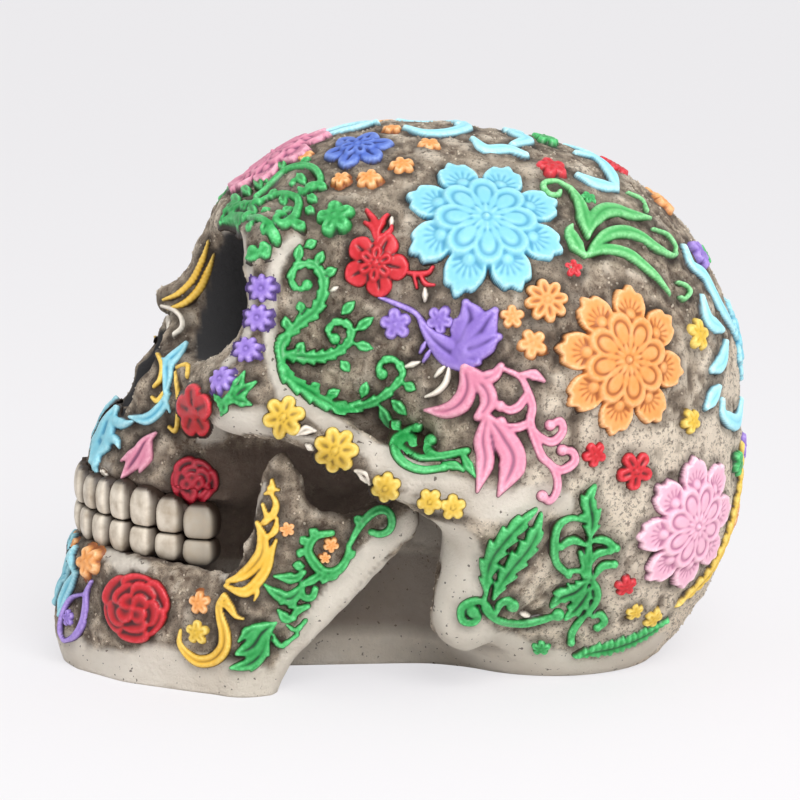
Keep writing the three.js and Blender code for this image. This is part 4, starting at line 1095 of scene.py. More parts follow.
TEMPLE_CURL = [3.4, 4.0, 3.6, 3.0, 2.6, 2.2, 1.8]
TEMPLE_STEMS = [
    [(287, 335), (302, 321), (315, 311), (322, 297), (324, 284), (321, 274), (315, 266), (306, 264),
     (296, 267), (291, 277), (294, 286), (301, 289), (307, 285)],
    [(285, 355), (302, 357), (320, 357), (337, 352), (347, 344), (351, 335), (349, 326), (341, 322),
     (334, 323), (329, 329), (330, 335), (335, 339)],
    [(281, 366), (287, 377), (296, 385), (307, 392), (322, 402), (340, 407), (357, 406), (372, 402),
     (385, 395), (396, 385), (402, 377), (402, 370), (397, 362), (390, 359), (382, 362), (379, 370),
     (382, 374)],
    [(287, 335), (281, 345), (280, 357), (283, 370)],
]
TEMPLE_LEAVES = [
    [(317, 265), (323, 251)], [(325, 274), (337, 269)], [(297, 262), (300, 244)], [(305, 247), (317, 241)],
    [(302, 312), (299, 301)], [(287, 330), (285, 316)], [(342, 314), (355, 301)], [(356, 330), (374, 317)],
    [(355, 344), (374, 349)], [(341, 361), (350, 372)], [(297, 352), (304, 342)], [(310, 390), (320, 384)],
    [(326, 397), (340, 390)], [(362, 397), (367, 381)], [(404, 384), (416, 390)], [(392, 400), (407, 415)],
    [(380, 405), (386, 418), (395, 430)],
]
scroll("temple_scroll", "leaf_green_paint", seat_in_view("cranium", 330, 335), (
    alike(TEMPLE_CURL, TEMPLE_STEMS, height=1.9, slit=0.35, lobes=12, bulb=1.5, saw=True)
    + alike(LEAFLET, TEMPLE_LEAVES, slit=0.5)
))

BROW_STEMS = [
    [(256, 200), (265, 192), (275, 182), (285, 173), (295, 169), (307, 168), (316, 171), (321, 179),
     (320, 186), (314, 189)],
    [(260, 206), (267, 200), (280, 196), (291, 197), (299, 202), (298, 211), (294, 219), (287, 224),
     (280, 225), (276, 221), (281, 217)],
    [(250, 220), (262, 221), (271, 227), (274, 236)],
    [(226, 223), (234, 219), (248, 219)],
    [(226, 214), (237, 209), (257, 205)],
    [(300, 191), (305, 194), (311, 190)],
]
BROW_LEAVES = [
    [(298, 176), (306, 186)], [(308, 198), (318, 203)], [(294, 229), (305, 223)], [(260, 256), (272, 248)],
    [(248, 262), (262, 256)], [(240, 206), (233, 196)], [(262, 190), (256, 180)], [(284, 172), (282, 160)],
    [(303, 167), (310, 158)], [(318, 186), (327, 190)], [(268, 226), (262, 236)], [(236, 214), (228, 206)],
    [(250, 208), (256, 216)], [(283, 197), (285, 207)], [(246, 212), (244, 202)], [(262, 214), (272, 210)],
    [(238, 220), (243, 228)], [(252, 224), (250, 233)], [(272, 200), (276, 190)], [(290, 186), (298, 183)],
    [(276, 172), (268, 165)], [(250, 196), (243, 188)], [(268, 184), (260, 174)], [(284, 214), (292, 208)],
    [(306, 210), (315, 214)], [(226, 222), (222, 230)],
]
scroll("brow_scroll", "leaf_green_paint", seat_at("cranium", 270, 205, drop=5), (
    alike(CURL, BROW_STEMS, slit=0.3, bulb=1.6) + alike(LEAFLET, BROW_LEAVES, slit=0.5)
))

MASTOID_HALVES = [
    [(486, 594), (487, 575), (492, 557), (503, 541), (518, 525), (537, 508)],
    [(493, 598), (501, 582), (512, 566), (525, 550), (535, 532), (541, 512)],
]
MASTOID_STEMS = [
    [(486, 592), (484, 608), (498, 620), (520, 623), (540, 620), (558, 614)],
    [(494, 614), (484, 602), (472, 601), (462, 608), (463, 620), (473, 622), (478, 616), (473, 611)],
    [(496, 612), (500, 603), (508, 600), (512, 605)],
]
scroll("mastoid_leaf", "leaf_green_paint", seat_in_view("cranium", 508, 562), (
    alike([1.4, 5.0, 5.4, 4.8, 0.6], MASTOID_HALVES, height=2.3, slit=0.35, lobes=6, saw=True)
    + alike(STEM, MASTOID_STEMS, slit=0.3, bulb=1.8)
))

NAPE_LEAVES = [
    [(589, 538), (591, 518), (588, 500), (595, 484)],
    [(588, 578), (575, 590), (560, 596), (550, 607)],
    [(590, 586), (580, 602), (564, 619)],
]
NAPE_STEMS = [
    [(584, 520), (570, 518), (558, 526), (554, 544), (556, 562), (568, 574)],
    [(584, 544), (572, 540), (560, 546)],
    [(580, 552), (584, 564), (584, 574)],
    [(590, 540), (604, 540), (616, 548)],
    [(589, 564), (596, 554), (610, 550)],
    [(594, 576), (602, 566), (614, 564)],
    [(570, 570), (584, 572), (596, 588), (596, 600), (588, 612)],
    [(588, 612), (580, 620), (572, 632), (571, 642)],
    [(589, 538), (588, 556), (588, 574)],
    [(592, 616), (600, 614), (604, 621), (597, 627)],
]
scroll("nape_scroll", "leaf_green_paint", seat_in_view("cranium", 585, 562), (
    alike([1.2, 4.8, 5.6, 3.8, 0.8], NAPE_LEAVES, height=2.2, slit=0.45, lobes=4, saw=True)
    + alike(STEM, NAPE_STEMS, slit=0.3, bulb=1.15)
))

BLADES = [
    ([(584, 258), (576, 247), (569, 233), (571, 226)], [1.2, 4.6, 4.0, 1.0]),
    ([(587, 238), (584, 224), (580, 207), (574, 196), (569, 190)], [1.6, 4.4, 3.6, 1.8]),
    ([(569, 190), (556, 183), (544, 184), (543, 190), (549, 196), (557, 196), (559, 193)],
     [1.6, 1.8, 2.0, 1.6]),
    ([(587, 238), (591, 224), (601, 213), (614, 211), (631, 216), (650, 220)], [1.4, 4.6, 5.2, 3.8, 0.8]),
    ([(586, 256), (597, 243), (611, 234), (626, 233), (640, 238), (654, 248), (669, 256), (676, 256)],
     [1.2, 3.8, 4.4, 3.2, 0.8]),
    ([(587, 257), (600, 251), (614, 251), (629, 256), (643, 267), (657, 280), (669, 296)],
     [1.2, 3.4, 3.6, 2.8, 0.8]),
    ([(626, 194), (640, 201), (646, 213)], SPRIG),
    ([(651, 230), (666, 236), (674, 247), (674, 254)], SPRIG),
    ([(676, 283), (684, 286), (689, 293), (683, 300), (679, 298)], SPRIG),
]
scroll("blade_plant", "grass_green_paint", seat_at("cranium", 612, 245), finished(BLADES, slit=0.2))

CROWN_STROKES = [
    [(472, 141), (485, 151), (507, 151), (525, 157)],
    [(504, 132), (517, 137), (526, 142), (512, 147)],
    [(405, 130), (425, 135), (450, 134), (465, 129), (455, 124)],
    [(575, 155), (595, 160), (610, 175), (615, 190)],
    [(577, 177), (595, 185), (615, 190)],
]
scroll("crown_scroll", "pale_blue_paint", seat_at("cranium", 512, 140),
       alike([2.0, 4.6, 4.8, 2.6], CROWN_STROKES, slit=0.15, height=1.5))

BACK_STROKES = [
    [(682, 247), (690, 265), (702, 275), (710, 290), (720, 310), (730, 330)],
    [(700, 297), (707, 320), (720, 330)],
    [(724, 342), (720, 362), (710, 370)],
    [(717, 387), (705, 407)],
    [(720, 400), (722, 415), (735, 422), (741, 400)],
]
scroll("back_scroll", "pale_blue_paint", seat_at("cranium", 715, 340),
       alike([2.0, 4.8, 5.0, 2.4], BACK_STROKES, slit=0.15, height=1.5))

PINK_LEAVES = [
    ([(464, 367), (468, 387), (461, 403), (446, 411), (425, 410)], [2.4, 5.0, 5.4, 4.0, 1.0]),
    ([(470, 372), (486, 390), (488, 404), (478, 417)], [1.8, 4.6, 4.8, 2.4]),
    ([(466, 365), (480, 378), (494, 375), (501, 366)], [2.0, 3.6, 3.8, 2.0]),
    ([(487, 415), (483, 440), (485, 462), (477, 492)], [2.0, 5.0, 4.8, 0.8]),
    ([(488, 416), (503, 438), (513, 462), (498, 496)], [2.0, 6.8, 7.0, 0.8]),
    ([(522, 374), (534, 375), (544, 381)], [1.4, 3.2, 1.0]),
]
PINK_STEMS = [
    [(504, 369), (520, 377), (527, 390), (532, 407), (530, 422), (535, 440), (542, 457), (552, 467),
     (557, 480), (556, 492), (549, 501), (542, 496)],
    [(527, 392), (520, 405), (510, 410), (500, 406)],
    [(531, 420), (520, 427), (507, 427), (501, 422)],
    [(532, 427), (540, 437), (552, 442), (562, 432), (560, 421), (550, 425)],
    [(544, 460), (560, 470), (574, 462), (572, 452), (562, 450)],
]
scroll("pink_scroll", "dusky_pink_paint", seat_in_view("cranium", 500, 430), (
    finished(PINK_LEAVES, height=2.1, slit=0.35)
    + alike([1.4, 2.4, 2.6, 2.4, 2.0], PINK_STEMS, slit=0.4, bulb=1.5)
))

LILY_PETALS = [
    ([(420, 319), (427, 331), (438, 343), (450, 352), (464, 356)], [1.6, 3.2, 5.6, 8.0, 8.4], 2.0),
    ([(463, 350), (468, 334), (471, 317), (466, 303)], [6.0, 9.6, 9.0, 2.4], 1.8),
    ([(466, 350), (480, 334), (489, 320), (495, 311)], [6.0, 8.6, 7.0, 2.2], 2.3),
    ([(466, 351), (482, 345), (493, 339), (499, 337)], [6.0, 7.4, 6.0, 2.0], 2.6),
    ([(462, 354), (472, 358), (478, 362)], [6.0, 6.0, 2.2], 2.3),
    ([(379, 297), (397, 304), (414, 312), (422, 321)], [1.0, 1.6, 1.6, 1.6], 1.7),
]
scroll("lily", "violet_paint", seat_in_view("cranium", 455, 335),
       [(line, widths, {"height": height, "slit": 0.35}) for line, widths, height in LILY_PETALS])

NOSE_STROKES = [
    ([(186, 344), (178, 354), (169, 364), (168, 378), (166, 392)], [1.6, 3.4, 3.8, 3.0, 1.6]),
    ([(168, 394), (160, 409), (147, 419), (130, 417)], [1.8, 3.4, 3.4, 1.0]),
    ([(170, 364), (159, 358)], [2.4, 0.8]),
    ([(166, 400), (170, 412)], [1.8, 0.8]),
]
scroll("nose_leaf", "sky_blue_paint", seat_in_view("cranium", 166, 385), finished(NOSE_STROKES, slit=0.5))

CHEEK_LEAF_TIPS = [
    ([(220, 405), (236, 395), (256, 382)], [1.4, 4.6, 0.8]),
    ([(230, 398), (238, 385), (245, 371)], [1.6, 3.6, 0.6]),
    ([(232, 398), (244, 402), (252, 405)], [1.6, 3.4, 0.6]),
    ([(222, 402), (218, 399), (214, 394)], [1.6, 2.2, 0.6]),
    ([(226, 402), (224, 409), (221, 416)], [1.6, 2.8, 0.6]),
]
scroll("cheek_leaf", "leaf_green_paint", seat_in_view("cranium", 236, 394),
       finished(CHEEK_LEAF_TIPS, slit=0.6, veins=3))

RAMUS_STROKES = [
    ([(350, 544), (356, 532), (364, 521), (373, 513), (382, 510), (389, 513), (392, 521), (389, 530),
      (380, 534), (371, 532)], CURL),
    ([(349, 544), (347, 558), (338, 570), (324, 572), (312, 560), (308, 548), (316, 536), (332, 533)],
     [1.6, 2.6, 3.0, 2.6, 1.8]),
    ([(304, 572), (294, 578), (274, 576)], [1.6, 3.4, 0.8]),
    ([(304, 584), (290, 598), (274, 592), (264, 584)], [1.6, 4.0, 3.4, 0.8]),
    ([(294, 618), (286, 618), (278, 610)], [1.6, 3.4, 1.0]),
    ([(322, 573), (312, 580), (302, 584)], [2.0, 2.6, 2.0]),
    ([(302, 584), (303, 596), (312, 597), (315, 589)], [1.8, 2.2, 2.0]),
    ([(308, 606), (298, 610), (292, 618)], [1.6, 2.4, 1.6]),
    ([(307, 544), (300, 536)], LEAFLET), ([(304, 554), (296, 551)], LEAFLET),
    ([(304, 566), (292, 565)], LEAFLET), ([(318, 536), (309, 529)], LEAFLET),
    ([(336, 570), (330, 581)], LEAFLET), ([(346, 556), (356, 551)], LEAFLET),
    ([(326, 573), (322, 584)], LEAFLET), ([(362, 523), (354, 517)], LEAFLET),
    ([(296, 600), (288, 608)], LEAFLET), ([(284, 596), (280, 605)], LEAFLET),
]
scroll("ramus_scroll", "leaf_green_paint", seat_in_view("jaw", 325, 565), finished(RAMUS_STROKES, slit=0.4))

JAW_LEAF_STROKES = [
    ([(276, 622), (262, 632), (252, 646), (236, 654)], [1.6, 5.8, 6.2, 1.0]),
    ([(268, 636), (260, 654), (248, 664), (230, 668)], [1.6, 4.6, 4.2, 0.8]),
    ([(262, 628), (250, 630), (238, 642)], [1.6, 3.2, 0.6]),
    ([(274, 640), (284, 648)], [2.0, 0.6]),
    ([(286, 624), (296, 630), (306, 620)], SPRIG),
    ([(273, 634), (280, 646), (298, 634)], SPRIG),
]
scroll("jaw_leaf", "leaf_green_paint", seat_in_view("jaw", 265, 645),
       finished(JAW_LEAF_STROKES, slit=0.4, lobes=3, lobe=0.2, saw=True))

TENDRIL_STROKES = [
    ([(258, 522), (263, 537), (262, 553), (253, 567), (241, 577), (228, 582)], [1.2, 3.4, 4.0, 3.4, 1.2]),
    ([(276, 540), (271, 553), (266, 569), (256, 583), (244, 592), (226, 586)], [1.0, 2.6, 3.2, 3.2, 1.2]),
    ([(254, 582), (257, 592), (254, 601)], [2.0, 1.8, 0.6]),
    ([(272, 480), (272, 490), (265, 494)], [1.0, 2.2, 0.8]),
    ([(270, 488), (279, 490)], [1.6, 0.8]),
    ([(272, 494), (276, 504), (273, 514), (265, 522)], [1.2, 2.2, 2.0]),
    ([(263, 504), (268, 519)], [1.0, 1.8]),
    ([(277, 518), (275, 530), (267, 538)], [1.0, 2.2, 1.4]),
]
scroll("ramus_tendril", "ochre_paint", seat_in_view("jaw", 258, 545), finished(TENDRIL_STROKES, slit=0.3))

JAW_SCROLL_STROKES = [
    ([(181, 630), (180, 642), (187, 653), (199, 661), (214, 659), (224, 648), (225, 633), (221, 617),
      (220, 605), (225, 595)], [1.0, 2.4, 3.4, 3.8, 3.4, 2.6, 1.6]),
    ([(221, 604), (229, 606), (236, 616), (244, 619)], [1.4, 2.6, 1.6, 0.6]),
    ([(226, 596), (231, 604)], [1.4, 1.2]),
]
scroll("jaw_scroll", "ochre_paint", seat_in_view("jaw", 204, 632), finished(JAW_SCROLL_STROKES, slit=0.4))

CHIN_LINES = [
    ([(0, -9), (0, 0), (0, 11)], [2.0, 6.4, 6.0, 1.0]),
    ([(0, -3), (5, 0), (6.5, 5), (3.8, 7)], [1.6, 2.6, 2.2, 1.2]),
    ([(0, -3), (-5, 0), (-6.5, 5), (-3.8, 7)], [1.6, 2.6, 2.2, 1.2]),
]
chin_seat = node_seat("jaw", "chin_leaf", Vector((0, -1, 0)))
chin_marks = [stroke(line, widths, slit=0.5, veins=3) for line, widths in CHIN_LINES]
ornament("chin_leaf", "sky_blue_paint", chin_seat, chin_marks, MIDDLE_LINE)


# Small blossoms
# Little five-petalled flowers and asters that fill the ground between the large ornaments, each a small
# moulding of its own, painted in one colour. The same shape is set many times, in its own size and turn.
BLOSSOM_RADIUS = 4
BLOSSOM_STEP = 0.36
# How strongly the blossoms' feet take their brown wash and painted shadow
BLOSSOM_FOOT_WASH_AND_SHADOW = 0.3
PIXELS_PER_MM = 3.8


def flat_shape(name, marks):
    """A small flower on a flat ground, to be copied."""
    grid = relief_grid(marks, BLOSSOM_STEP)
    grid.stain = BLOSSOM_FOOT_WASH_AND_SHADOW
    grid.foot = grid.foot * BLOSSOM_FOOT_WASH_AND_SHADOW
    upper = np.stack((grid.u, grid.v, grid.top), axis=1)
    under = upper * [1, 1, 0] - [0, 0, SINK + UNDER]
    mesh = relief_mesh(name, upper, under, grid)
    return bpy.data.objects.new(name, mesh)


star_shape = flat_shape("star_shape", star_flower(BLOSSOM_RADIUS, 5, 90, 1.05))
aster_shape = flat_shape("aster_shape", star_flower(BLOSSOM_RADIUS, 8, 0, 0.95, 0.4))


def blossoms(name, slot, shape, flowers, unseen=()):
    """Both sides' small flowers in one paint: each its casting and pixel, or angles, radius and turn."""
    spots = []
    seats = [(seat_at(carrier_name, px, py, turn), radius) for carrier_name, px, py, radius, turn in flowers]
    seats += [(seat_behind(aside, above, turn), radius) for aside, above, radius, turn in unseen]
    for seat, radius in seats:
        size = radius / PIXELS_PER_MM / BLOSSOM_RADIUS
        ring = np.linspace(0, 2 * math.pi, 12)
        edge = [seat.right * math.cos(a) + seat.up * math.sin(a) for a in ring]
        footprints[seat.carrier].append(np.array([seat.point + e * size * BLOSSOM_RADIUS for e in edge]))
        for side in (1, -1):
            mirror = Vector((side, 1, 1))
            axes = [axis * mirror for axis in (seat.right * side, seat.up, seat.normal)]
            spots.append((seat.point * mirror, Matrix(axes).transposed(), (size, size, size)))
    piece = set_on_points(name, shape, spots, paints[slot])
    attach(piece, "root")


blossoms("orange_blossoms", "orange_paint", star_shape, [
    ("cranium", 512, 317, 12, 0), ("cranium", 532, 344, 15, 25), ("cranium", 392, 130, 10, 0),
    ("cranium", 429, 146, 12, 30), ("cranium", 402, 167, 13, 10), ("cranium", 369, 180, 13, 50),
    ("cranium", 341, 180, 10, 20), ("cranium", 306, 157, 9, 0), ("jaw", 90, 562, 17, 10),
    ("jaw", 75, 546, 9, 40), ("jaw", 200, 603, 12, 0), ("jaw", 287, 529, 8, 15),
    ("jaw", 331, 545, 8, 40), ("jaw", 325, 558, 6, 0),
], [(9, 40, 15, 0), (13, -24, 14, 20)])
blossoms("violet_blossoms", "violet_paint", star_shape, [
    ("cranium", 396, 324, 16, 8), ("cranium", 440, 320, 14, 40), ("jaw", 69, 618, 9, 0),
], [(16, 28, 17, 10), (8, -12, 15, 0)])
blossoms("violet_asters", "violet_paint", aster_shape, [
    ("cranium", 262, 288, 14, 0), ("cranium", 258, 318, 14, 20), ("cranium", 247, 350, 14, 10),
    ("cranium", 222, 380, 14, 30),
])
blossoms("green_blossoms", "leaf_green_paint", star_shape, [
    ("cranium", 336, 219, 20, 0), ("cranium", 588, 199, 9, 20), ("cranium", 541, 647, 10, 0),
], [(8, 27, 12, 30), (17, -14, 14, 0), (7, 68, 14, 0)])
blossoms("red_blossoms", "red_paint", star_shape, [
    ("cranium", 551, 170, 17, 20), ("cranium", 573, 269, 10, 0), ("cranium", 594, 454, 13, 30),
    ("cranium", 625, 585, 12, 0),
], [(8, 52, 15, 0), (7, -26, 12, 10)])
blossoms("yellow_blossoms", "yellow_paint", star_shape, [
    ("cranium", 696, 335, 17, 0), ("cranium", 690, 421, 13, 30), ("cranium", 634, 611, 10, 0),
    ("cranium", 652, 617, 12, 40), ("jaw", 198, 632, 13, 0),
])
blossoms("white_blossoms", "cast_resin", star_shape, [
    ("cranium", 151, 491, 9, 0), ("cranium", 105, 473, 6, 20), ("cranium", 170, 322, 8, 0),
])


# Sprigs
# Thin stalks, slips and curls between the flowers and the hatched braid down the nose, in the paints of
# their neighbours. Each is a low moulding cast with the ground.
def trims(name, slot, groups):
    """Small ornaments of one paint on both sides, each group a seat and strokes as for a scroll."""
    shell = bmesh.new()
    for seat, strokes in groups:
        upper, under, grid = moulded(seat, stroke_marks(seat, strokes))
        for _, sign in BOTH_SIDES:
            mirror = [sign, 1, 1]
            shell.from_mesh(relief_mesh(name, upper * mirror, under * mirror, grid))
    mesh = bpy.data.meshes.new(name)
    shell.to_mesh(mesh)
    shell.free()
    mesh.shade_smooth()
    mesh.materials.append(paints[slot])
    piece = link_piece(name, mesh)
    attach(piece, "root")


ARCH_SCROLL = [
    ([(412, 427), (396, 437), (395, 452), (405, 464), (422, 470), (445, 468)], CURL, {"slit": 0.3}),
    ([(398, 448), (403, 438), (411, 435), (414, 440)], STEM, {"bulb": 1.5}),
    ([(402, 444), (418, 456), (440, 457), (467, 451)], STEM, {"slit": 0.3}),
    ([(436, 456), (428, 448), (431, 440)], STEM, {"bulb": 1.6}),
    ([(462, 453), (468, 465), (476, 478)], [1.4, 3.0, 0.6], {"slit": 0.4}),
    ([(444, 466), (456, 466), (464, 472)], [2.0, 2.6, 0.6], {"slit": 0.4}),
    ([(400, 428), (392, 420)], LEAFLET, {}),
    ([(414, 430), (422, 424)], LEAFLET, {}),
]
BASE_BAND = [
    ([(574, 655), (592, 650), (612, 646), (634, 638), (652, 628), (667, 618)], [1.8, 5.8, 6.0, 5.4, 1.4],
     {"lobes": 8, "lobe": 0.25, "slit": 0.4, "veins": 16, "saw": True}),
]
trims("green_sprigs", "leaf_green_paint", [
    (seat_in_view("cranium", 430, 450), ARCH_SCROLL),
    (seat_at("cranium", 605, 646), BASE_BAND),
])

RED_SPRIGS = [
    ([(378, 243), (378, 233), (375, 222), (367, 211)], [1.4, 2.4, 2.2, 1.4], {}),
    ([(379, 234), (383, 221), (388, 215)], [1.2, 2.2, 1.0], {}),
    ([(375, 240), (373, 229), (365, 223)], [1.2, 2.2, 1.2], {}),
    ([(380, 240), (390, 232), (392, 226)], [1.2, 2.0, 1.0], {}),
    ([(405, 272), (416, 274), (428, 273), (433, 267)], [1.0, 1.6, 1.6, 1.0], {}),
    ([(414, 274), (417, 288)], [1.4, 0.8], {}),
    ([(420, 275), (426, 284), (435, 285)], [1.2, 1.6, 0.8], {}),
]
trims("red_sprigs", "red_paint", [(seat_at("cranium", 392, 245), RED_SPRIGS)])

WHITE_LEAVES = [
    ([(405, 367), (420, 362)], [0.8, 1.8, 0.6], {}),
    ([(425, 397), (437, 392), (446, 382), (450, 364)], [0.8, 1.8, 1.8, 0.6], {}),
    ([(435, 377), (446, 365)], [0.8, 1.8, 0.6], {}),
    ([(425, 288), (425, 302)], [0.8, 1.8, 0.6], {}),
    ([(391, 226), (392, 217)], [0.8, 1.6, 0.6], {}),
    ([(331, 291), (338, 287)], [0.8, 1.6, 0.6], {}),
]
ARCH_SLIPS = [
    ([(297, 435), (306, 430), (316, 431)], [0.8, 2.8, 0.8], {"slit": 0.8}),
    ([(355, 470), (364, 475), (370, 484)], [0.8, 2.8, 0.8], {"slit": 0.8}),
    ([(306, 444), (314, 450)], [0.8, 1.8, 0.6], {"slit": 0.4}),
]
NOSE_CURL = [([(162, 306), (172, 309), (181, 317), (182, 329), (174, 336)], [0.8, 1.4, 1.4, 1.0], {})]
MASTOID_SLIP = [([(520, 613), (529, 615)], [0.8, 1.8, 0.8], {})]
trims("white_leaves", "cast_resin", [
    (seat_in_view("cranium", 425, 360), WHITE_LEAVES),
    (seat_in_view("cranium", 330, 452, 6), ARCH_SLIPS),
    (seat_in_view("cranium", 524, 614), MASTOID_SLIP),
    (seat_at("cranium", 176, 320, drop=6), NOSE_CURL),
])

LILY_SLIPS = [
    ([(420, 353), (427, 340)], [0.8, 1.6, 0.6], {}),
    ([(423, 362), (432, 348)], [0.8, 1.6, 0.6], {}),
]
CHIN_RING = [
    ([(92, 581), (87, 592), (86, 608), (83, 623), (75, 636), (65, 641)], [1.0, 1.8, 2.2, 2.4, 2.2, 1.2],
     {"slit": 0.3}),
    ([(65, 641), (61, 630), (64, 612), (72, 598), (84, 594)], [1.2, 1.4, 1.4, 1.4, 1.0], {}),
]
trims("violet_sprigs", "violet_paint", [
    (seat_in_view("cranium", 426, 350), LILY_SLIPS),
    (seat_in_view("jaw", 76, 612), CHIN_RING),
])

SNOUT_LEAF = [
    ([(118, 402), (112, 420), (104, 440), (92, 462)], [1.4, 5.0, 6.2, 1.2], {"slit": 0.5, "height": 2.0}),
    ([(112, 420), (124, 424), (134, 421)], [2.4, 3.2, 0.8], {}),
    ([(106, 438), (116, 440), (120, 448)], [2.4, 3.0, 0.8], {}),
    ([(100, 446), (96, 466), (98, 478)], [2.4, 3.0, 0.8], {}),
]
CHIN_EDGE = [
    ([(77, 572), (69, 588), (63, 602), (60, 616)], [1.4, 3.2, 3.0, 1.0], {"slit": 0.5}),
    ([(72, 544), (73, 556), (75, 570)], [1.0, 2.6, 1.0], {}),
]
trims("blue_sprigs", "sky_blue_paint", [
    (seat_in_view("cranium", 108, 436), SNOUT_LEAF),
    (seat_in_view("jaw", 64, 590), CHIN_EDGE),
])

CROWN_STRIP = [([(322, 139), (340, 134), (360, 129), (378, 124)], [1.2, 2.6, 2.4, 1.0], {"slit": 0.3})]
trims("pale_sprigs", "pale_blue_paint", [(seat_at("cranium", 350, 132), CROWN_STRIP)])

SNOUT_BLADE = [
    ([(156, 433), (146, 442), (137, 458), (122, 478)], [1.0, 4.0, 4.6, 0.8], {"slit": 0.5}),
    ([(150, 442), (148, 458), (140, 472)], [1.6, 3.2, 0.8], {}),
    ([(140, 446), (132, 454), (121, 461)], [1.6, 2.6, 0.6], {}),
]
trims("pink_sprigs", "dusky_pink_paint", [(seat_in_view("cranium", 140, 456), SNOUT_BLADE)])

FACE_CURLS = [
    ([(158, 354), (163, 366), (161, 379), (154, 387)], [1.0, 1.8, 1.8, 1.0], {}),
    ([(152, 397), (158, 401), (165, 391)], [1.0, 1.8, 1.0], {}),
    ([(177, 368), (188, 366), (188, 378)], [1.0, 1.6, 1.0], {}),
    ([(176, 372), (179, 402), (176, 430), (169, 427)], [0.8, 1.4, 1.6, 1.0], {}),
]
BRIDGE_HATCHES = [
    ([(209, 240), (201, 264), (192, 281), (178, 294), (163, 300)], [0.8, 2.2, 2.6, 2.2, 1.0],
     {"veins": 18, "height": 1.1}),
    ([(214, 254), (206, 276), (197, 292), (183, 304), (168, 309)], [0.8, 2.2, 2.6, 2.2, 1.0],
     {"veins": 18, "height": 1.1}),
]
REAR_BAND = [
    ([(741, 440), (738, 475), (730, 518), (720, 547), (708, 570), (690, 590), (672, 606)],
     [1.0, 3.8, 4.4, 4.2, 4.4, 1.2], {"lobes": 14, "lobe": 0.4, "slit": 0.4}),
]
trims("yellow_sprigs", "ochre_paint", [
    (seat_in_view("cranium", 165, 390), FACE_CURLS),
    (seat_at("cranium", 198, 275, drop=6), BRIDGE_HATCHES),
])
trims("rear_band", "yellow_paint", [(seat_at("cranium", 725, 530), REAR_BAND)])


# Ground finish
# The resin between the ornaments is left rough, brushed with brown and grey, and a dark wash is wiped
# over it last, so that it stays round the ornaments, in the pits and in the recesses. Round the ornaments
# the wash is partly painted shadow, the recesses get painted shade over it, and the lower rear is paler,
# partly rubbed and partly painted light.
LUMP_SIZES = [7.0, 3.4, 2.2]
LUMP_HEIGHT = 0.5
SCATTER = [73856093, 19349663, 83492791]
SEED_SCATTER = 2654435761
SECOND_SCATTER = 1274126177
# The lower rear is paler, partly rubbed and partly painted light
RUBBED_AND_LIT_FROM = 10
RUBBED_AND_LIT_BELOW = 105
RUBBED_AND_LIT_FADE = 45
STAIN_SIZE = 5.0
STAIN_SEED = 7
# Reach of the dark wash round the ornaments, which is partly painted shadow
WASH_AND_SHADOW_REACH = 2.3
GRAINS_PER_SQUARE_MM = 0.12
SMALLEST_GRAIN = 0.35
LARGEST_GRAIN = 1.0


def lumps(points, size, seed):
    """Smooth uneven numbers from -1 to 1 at points in millimetres, with lumps of that size."""
    grid = points / size
    cell = np.floor(grid).astype(np.int64)
    part = smooth(grid - cell)
    total = np.zeros(len(points))
    for corner in np.ndindex(2, 2, 2):
        x, y, z = ((cell + corner) * SCATTER).T
        mixed = x ^ y ^ z ^ (seed * SEED_SCATTER)
        mixed = (mixed ^ (mixed >> 13)) * SECOND_SCATTER & 0x7FFFFFFF
        value = ((mixed ^ (mixed >> 16)) & 0xFFFF) / 32767.5 - 1
        total += value * np.prod(np.where(np.array(corner) == 1, part, 1 - part), axis=1)
    return total


